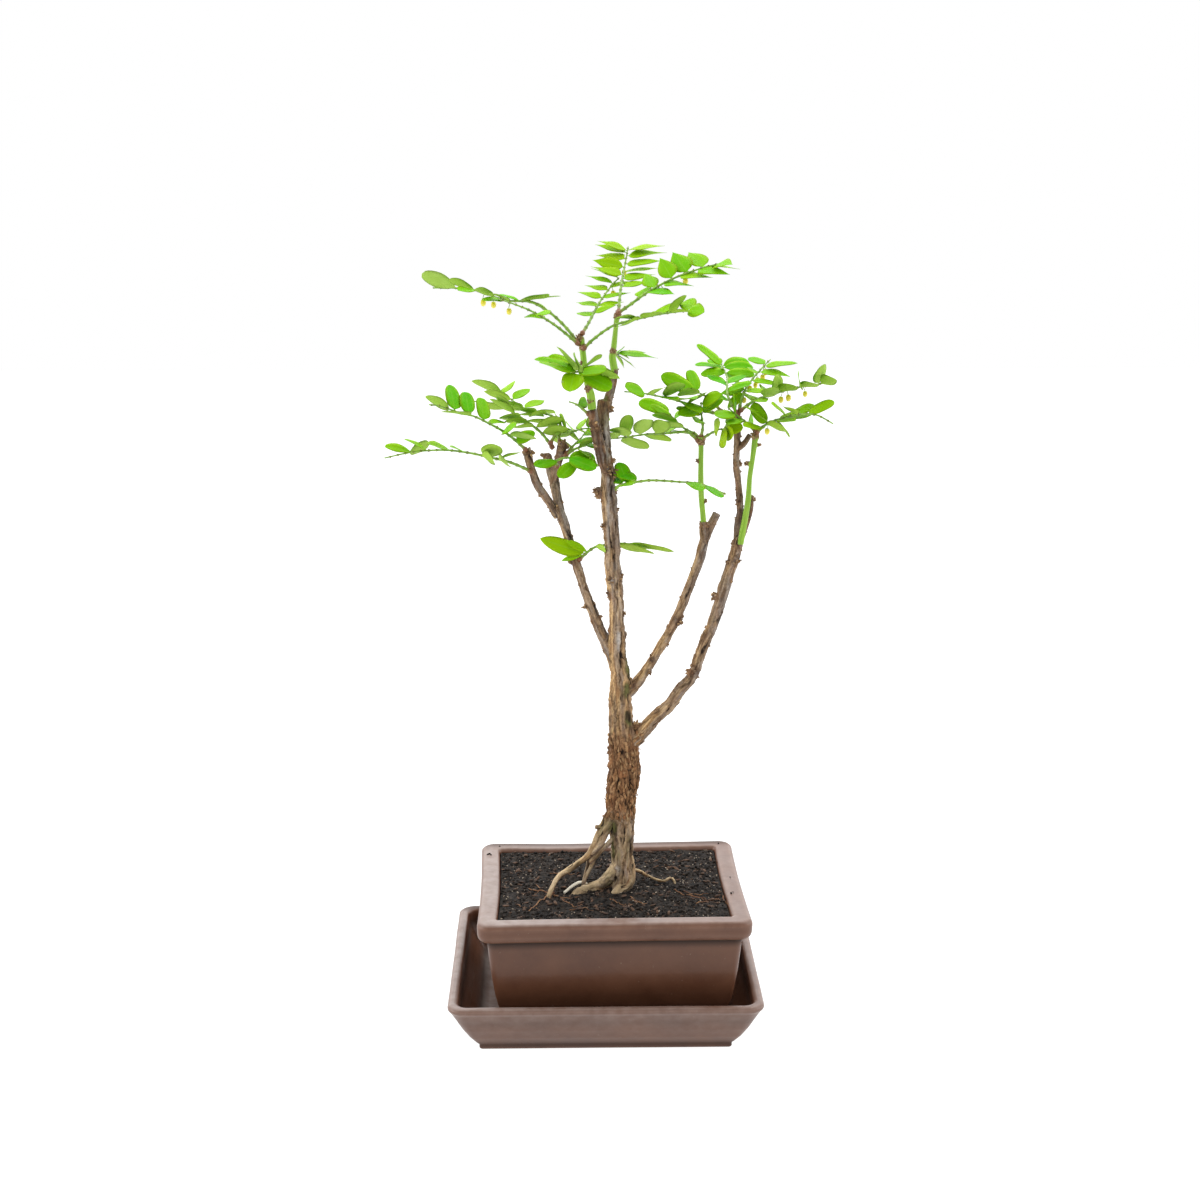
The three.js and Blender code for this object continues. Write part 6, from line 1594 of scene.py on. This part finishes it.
# Leaf blades: satin upper side with a yellow-green rim and a pale midrib, matt paler under side. The place
# mark runs along the blade in X, from the midrib to the edges in Y, and holds the leaf's own tone in Z. Side
# veins are stripes of a sine wave that lean towards the tip and fade over their half width.
def leafMaterial(name, sheet, ribSunk):
    values = leafValues
    m = newMaterial(name)
    spot = add(m, "Attribute", attribute_name="leafPlace", out="Vector")
    axis = add(m, "SeparateXYZ", {"Vector": spot}).node.outputs
    place = add(m, "TexCoord", out="Object")
    # Lime mask: young growth and painted light shining through
    masks = {"tint": add(m, "Attribute", attribute_name="tint", out="Fac")}
    fromRib = add(m, "Math", {0: axis["Y"]}, operation="ABSOLUTE")
    masks["rim"] = add(m, "Math", {0: fromRib, 1: 5.0}, operation="POWER")
    slant = add(m, "Math", {0: fromRib, 1: -values["veinLean"], 2: axis["X"]}, operation="MULTIPLY_ADD")
    slant = add(m, "Math", {0: slant, 1: values["sideVeins"] * math.pi}, operation="MULTIPLY")
    stripe = add(m, "Math", {0: slant}, operation="SINE")
    stripe = add(m, "Math", {0: stripe}, operation="ABSOLUTE")
    for key, distance, halfWidth in (("rib", fromRib, "ribHalfWidth"), ("veins", stripe, "veinHalfWidth")):
        fade = {0: distance, 1: -1 / values[halfWidth], 2: 1.0}
        masks[key] = add(m, "Math", fade, operation="MULTIPLY_ADD", use_clamp=True)
    mottle = add(m, "TexNoise", {"Vector": place, "Scale": perMm / 4, "Detail": 3.0})
    own = add(m, "Math", {0: axis["Z"], 1: 0.6, 2: -0.15}, operation="MULTIPLY_ADD")
    tone = add(m, "Math", {0: mottle, 1: 0.7, 2: own}, operation="MULTIPLY_ADD", use_clamp=True)
    dark, light = sheet["tones"]
    colour = add(m, "MixRGB", {"Fac": tone, "Color1": dark, "Color2": light})
    for key, layer, share in sheet["layers"]:
        amount = add(m, "Math", {0: masks[key], 1: share}, operation="MULTIPLY")
        colour = add(m, "MixRGB", {"Fac": amount, "Color1": colour, "Color2": layer})
    ridges = add(m, "Math", {0: masks["veins"], 1: 0.5}, operation="MULTIPLY")
    ridges = add(m, "Math", {0: ridges, 1: masks["rib"]}, operation="MAXIMUM")
    bump = add(m, "Bump", {"Height": ridges, "Strength": 0.25, "Distance": 0.0002}, invert=ribSunk)
    return finishMaterial(m, {"Base Color": colour, "Roughness": sheet["roughness"],
                              "Normal": bump, "Specular IOR Level": sheet["specular"]})


# Stem skin: fresh green, browner where its mark says, in patches of 2.5 mm
def stemMaterial():
    values = stemValues
    m = newMaterial("greenStemSkin")
    brown = add(m, "Attribute", attribute_name="brown", out="Fac")
    place = add(m, "TexCoord", out="Object")
    tone = add(m, "TexNoise", {"Vector": place, "Scale": perMm / 2.5, "Detail": 3.0})
    green = add(m, "ValToRGB", {"Fac": tone}, [(0.35, values["green"]), (0.65, values["greenLight"])])
    colour = add(m, "MixRGB", {"Fac": brown, "Color1": green, "Color2": values["scaleLight"]})
    return finishMaterial(m, {"Base Color": colour, "Roughness": 0.45})


# Bud sepals: waxy yellow, greener by the stalk. Their young mark runs from 0 at the stalk to 1 at the tip.
def budMaterial():
    values = budValues
    m = newMaterial("yellowBud")
    down = add(m, "Attribute", attribute_name="tint", out="Fac")
    stops = [(0.1, values["yellowGreen"]), (0.35, values["yellow"]), (0.8, values["yellowPale"])]
    colour = add(m, "ValToRGB", {"Fac": down}, stops)
    return finishMaterial(m, {"Base Color": colour, "Roughness": 0.4, "Subsurface Weight": 0.2,
                              "Subsurface Radius": (0.002, 0.0015, 0.0005)})


foliage = [
    leafMaterial("leafUpperSide", leafValues["upper"], True),
    leafMaterial("leafUnderSide", leafValues["under"], False), stemMaterial(),
    litterMaterial("brownScale", stemValues["scale"], stemValues["scaleLight"]), budMaterial(),
]
for node, row in sprayTable.items():
    path = smoothPath(row["stem"], stemValues["step"])
    face = unit(np.array(row["face"], float))
    parts = stemPart(path)
    parts.append(leafPart(path, face, row["leaves"], sprayLooks.get(node, plainLook)))
    parts += budParts(path, row.get("buds", []))
    makePiece("spray" + pieceName(node), joinParts(parts), foliage, ["spray_" + node])
print("sprays:", len(sprayTable), "with", sum(len(row["leaves"]) for row in sprayTable.values()), "leaves")


# Stage, light and camera

# The camera's place is in millimetres, its tilt down and turn to the right in degrees
stageValues = {
    "floorHalf": 3.0, "floorColour": "#858585", "floorGlow": 0.95, "lightFront": 0.75, "lightBack": 2.0,
    "cameraPlace": (-21.6, -1025.0, 499.5), "cameraTilt": 13.966, "cameraTurn": 1.09, "lens": 57.0,
    "lampAim": (0, 0, 0.2),
    "lamps": [    # place and size in metres, watts
        {"name": "backSoftbox", "place": (0.1, 0.9, 1.5), "size": 1.4, "power": 12.0},
        {"name": "leftSoftbox", "place": (-1.3, 0.1, 0.9), "size": 1.0, "power": 9.0},
        {"name": "rightSoftbox", "place": (1.3, 0.2, 1.0), "size": 1.0, "power": 5.5},
    ],
}


def makeFloor():
    half = stageValues["floorHalf"]
    mesh = bpy.data.meshes.new("floor")
    corners = [(-half, -half, 0), (half, -half, 0), (half, half, 0), (-half, half, 0)]
    mesh.from_pydata(corners, [], [(0, 1, 2, 3)])
    floor = bpy.data.objects.new("floor", mesh)
    bpy.context.scene.collection.objects.link(floor)
    m = newMaterial("lightTable")    # white acrylic lit from below: even white, with only a thin shadow
    mesh.materials.append(finishMaterial(m, {
        "Base Color": stageValues["floorColour"], "Roughness": 1.0, "Specular IOR Level": 0.0,
        "Emission Color": "#ffffff", "Emission Strength": stageValues["floorGlow"],
    }))


# The backdrop looks pure white, and lights the tree more from behind than from the front
def makeWorld():
    world = bpy.data.worlds.new("whiteStudio")
    bpy.context.scene.world = world
    world.use_nodes = True
    world.node_tree.nodes.clear()
    values = stageValues
    way = add(world, "SeparateXYZ", {"Vector": add(world, "TexCoord", out="Generated")}, out="Y")
    strength = add(world, "MapRange", {"Value": way, "From Min": -1.0, "From Max": 1.0,
                                       "To Min": values["lightFront"], "To Max": values["lightBack"]})
    seen = add(world, "Background", {"Color": "#ffffff", "Strength": 1.0})
    light = add(world, "Background", {"Color": "#ffffff", "Strength": strength})
    ray = add(world, "LightPath", out="Is Camera Ray")
    both = add(world, "MixShader", {0: ray, 1: light, 2: seen})
    add(world, "OutputWorld", {"Surface": both})


def makeLamps():
    for row in stageValues["lamps"]:
        lamp = bpy.data.lights.new(row["name"], "AREA")
        lamp.size = row["size"]
        lamp.energy = row["power"]
        piece = bpy.data.objects.new(row["name"], lamp)
        piece.location = row["place"]
        aim = Vector(stageValues["lampAim"]) - piece.location
        piece.rotation_euler = aim.to_track_quat("-Z", "Y").to_euler()
        bpy.context.scene.collection.objects.link(piece)


def makeCamera():
    camera = bpy.data.cameras.new("camera")
    camera.sensor_width = 36
    camera.sensor_fit = "HORIZONTAL"
    camera.lens = stageValues["lens"]
    piece = bpy.data.objects.new("camera", camera)
    piece.location = Vector(stageValues["cameraPlace"]) * mm
    tilt = math.radians(90 - stageValues["cameraTilt"])
    piece.rotation_euler = (tilt, 0, -math.radians(stageValues["cameraTurn"]))
    bpy.context.scene.collection.objects.link(piece)
    bpy.context.scene.camera = piece


makeFloor()
makeWorld()
makeLamps()
makeCamera()
bpy.context.scene.view_settings.view_transform = "Standard"
print("stage: floor, light and camera")
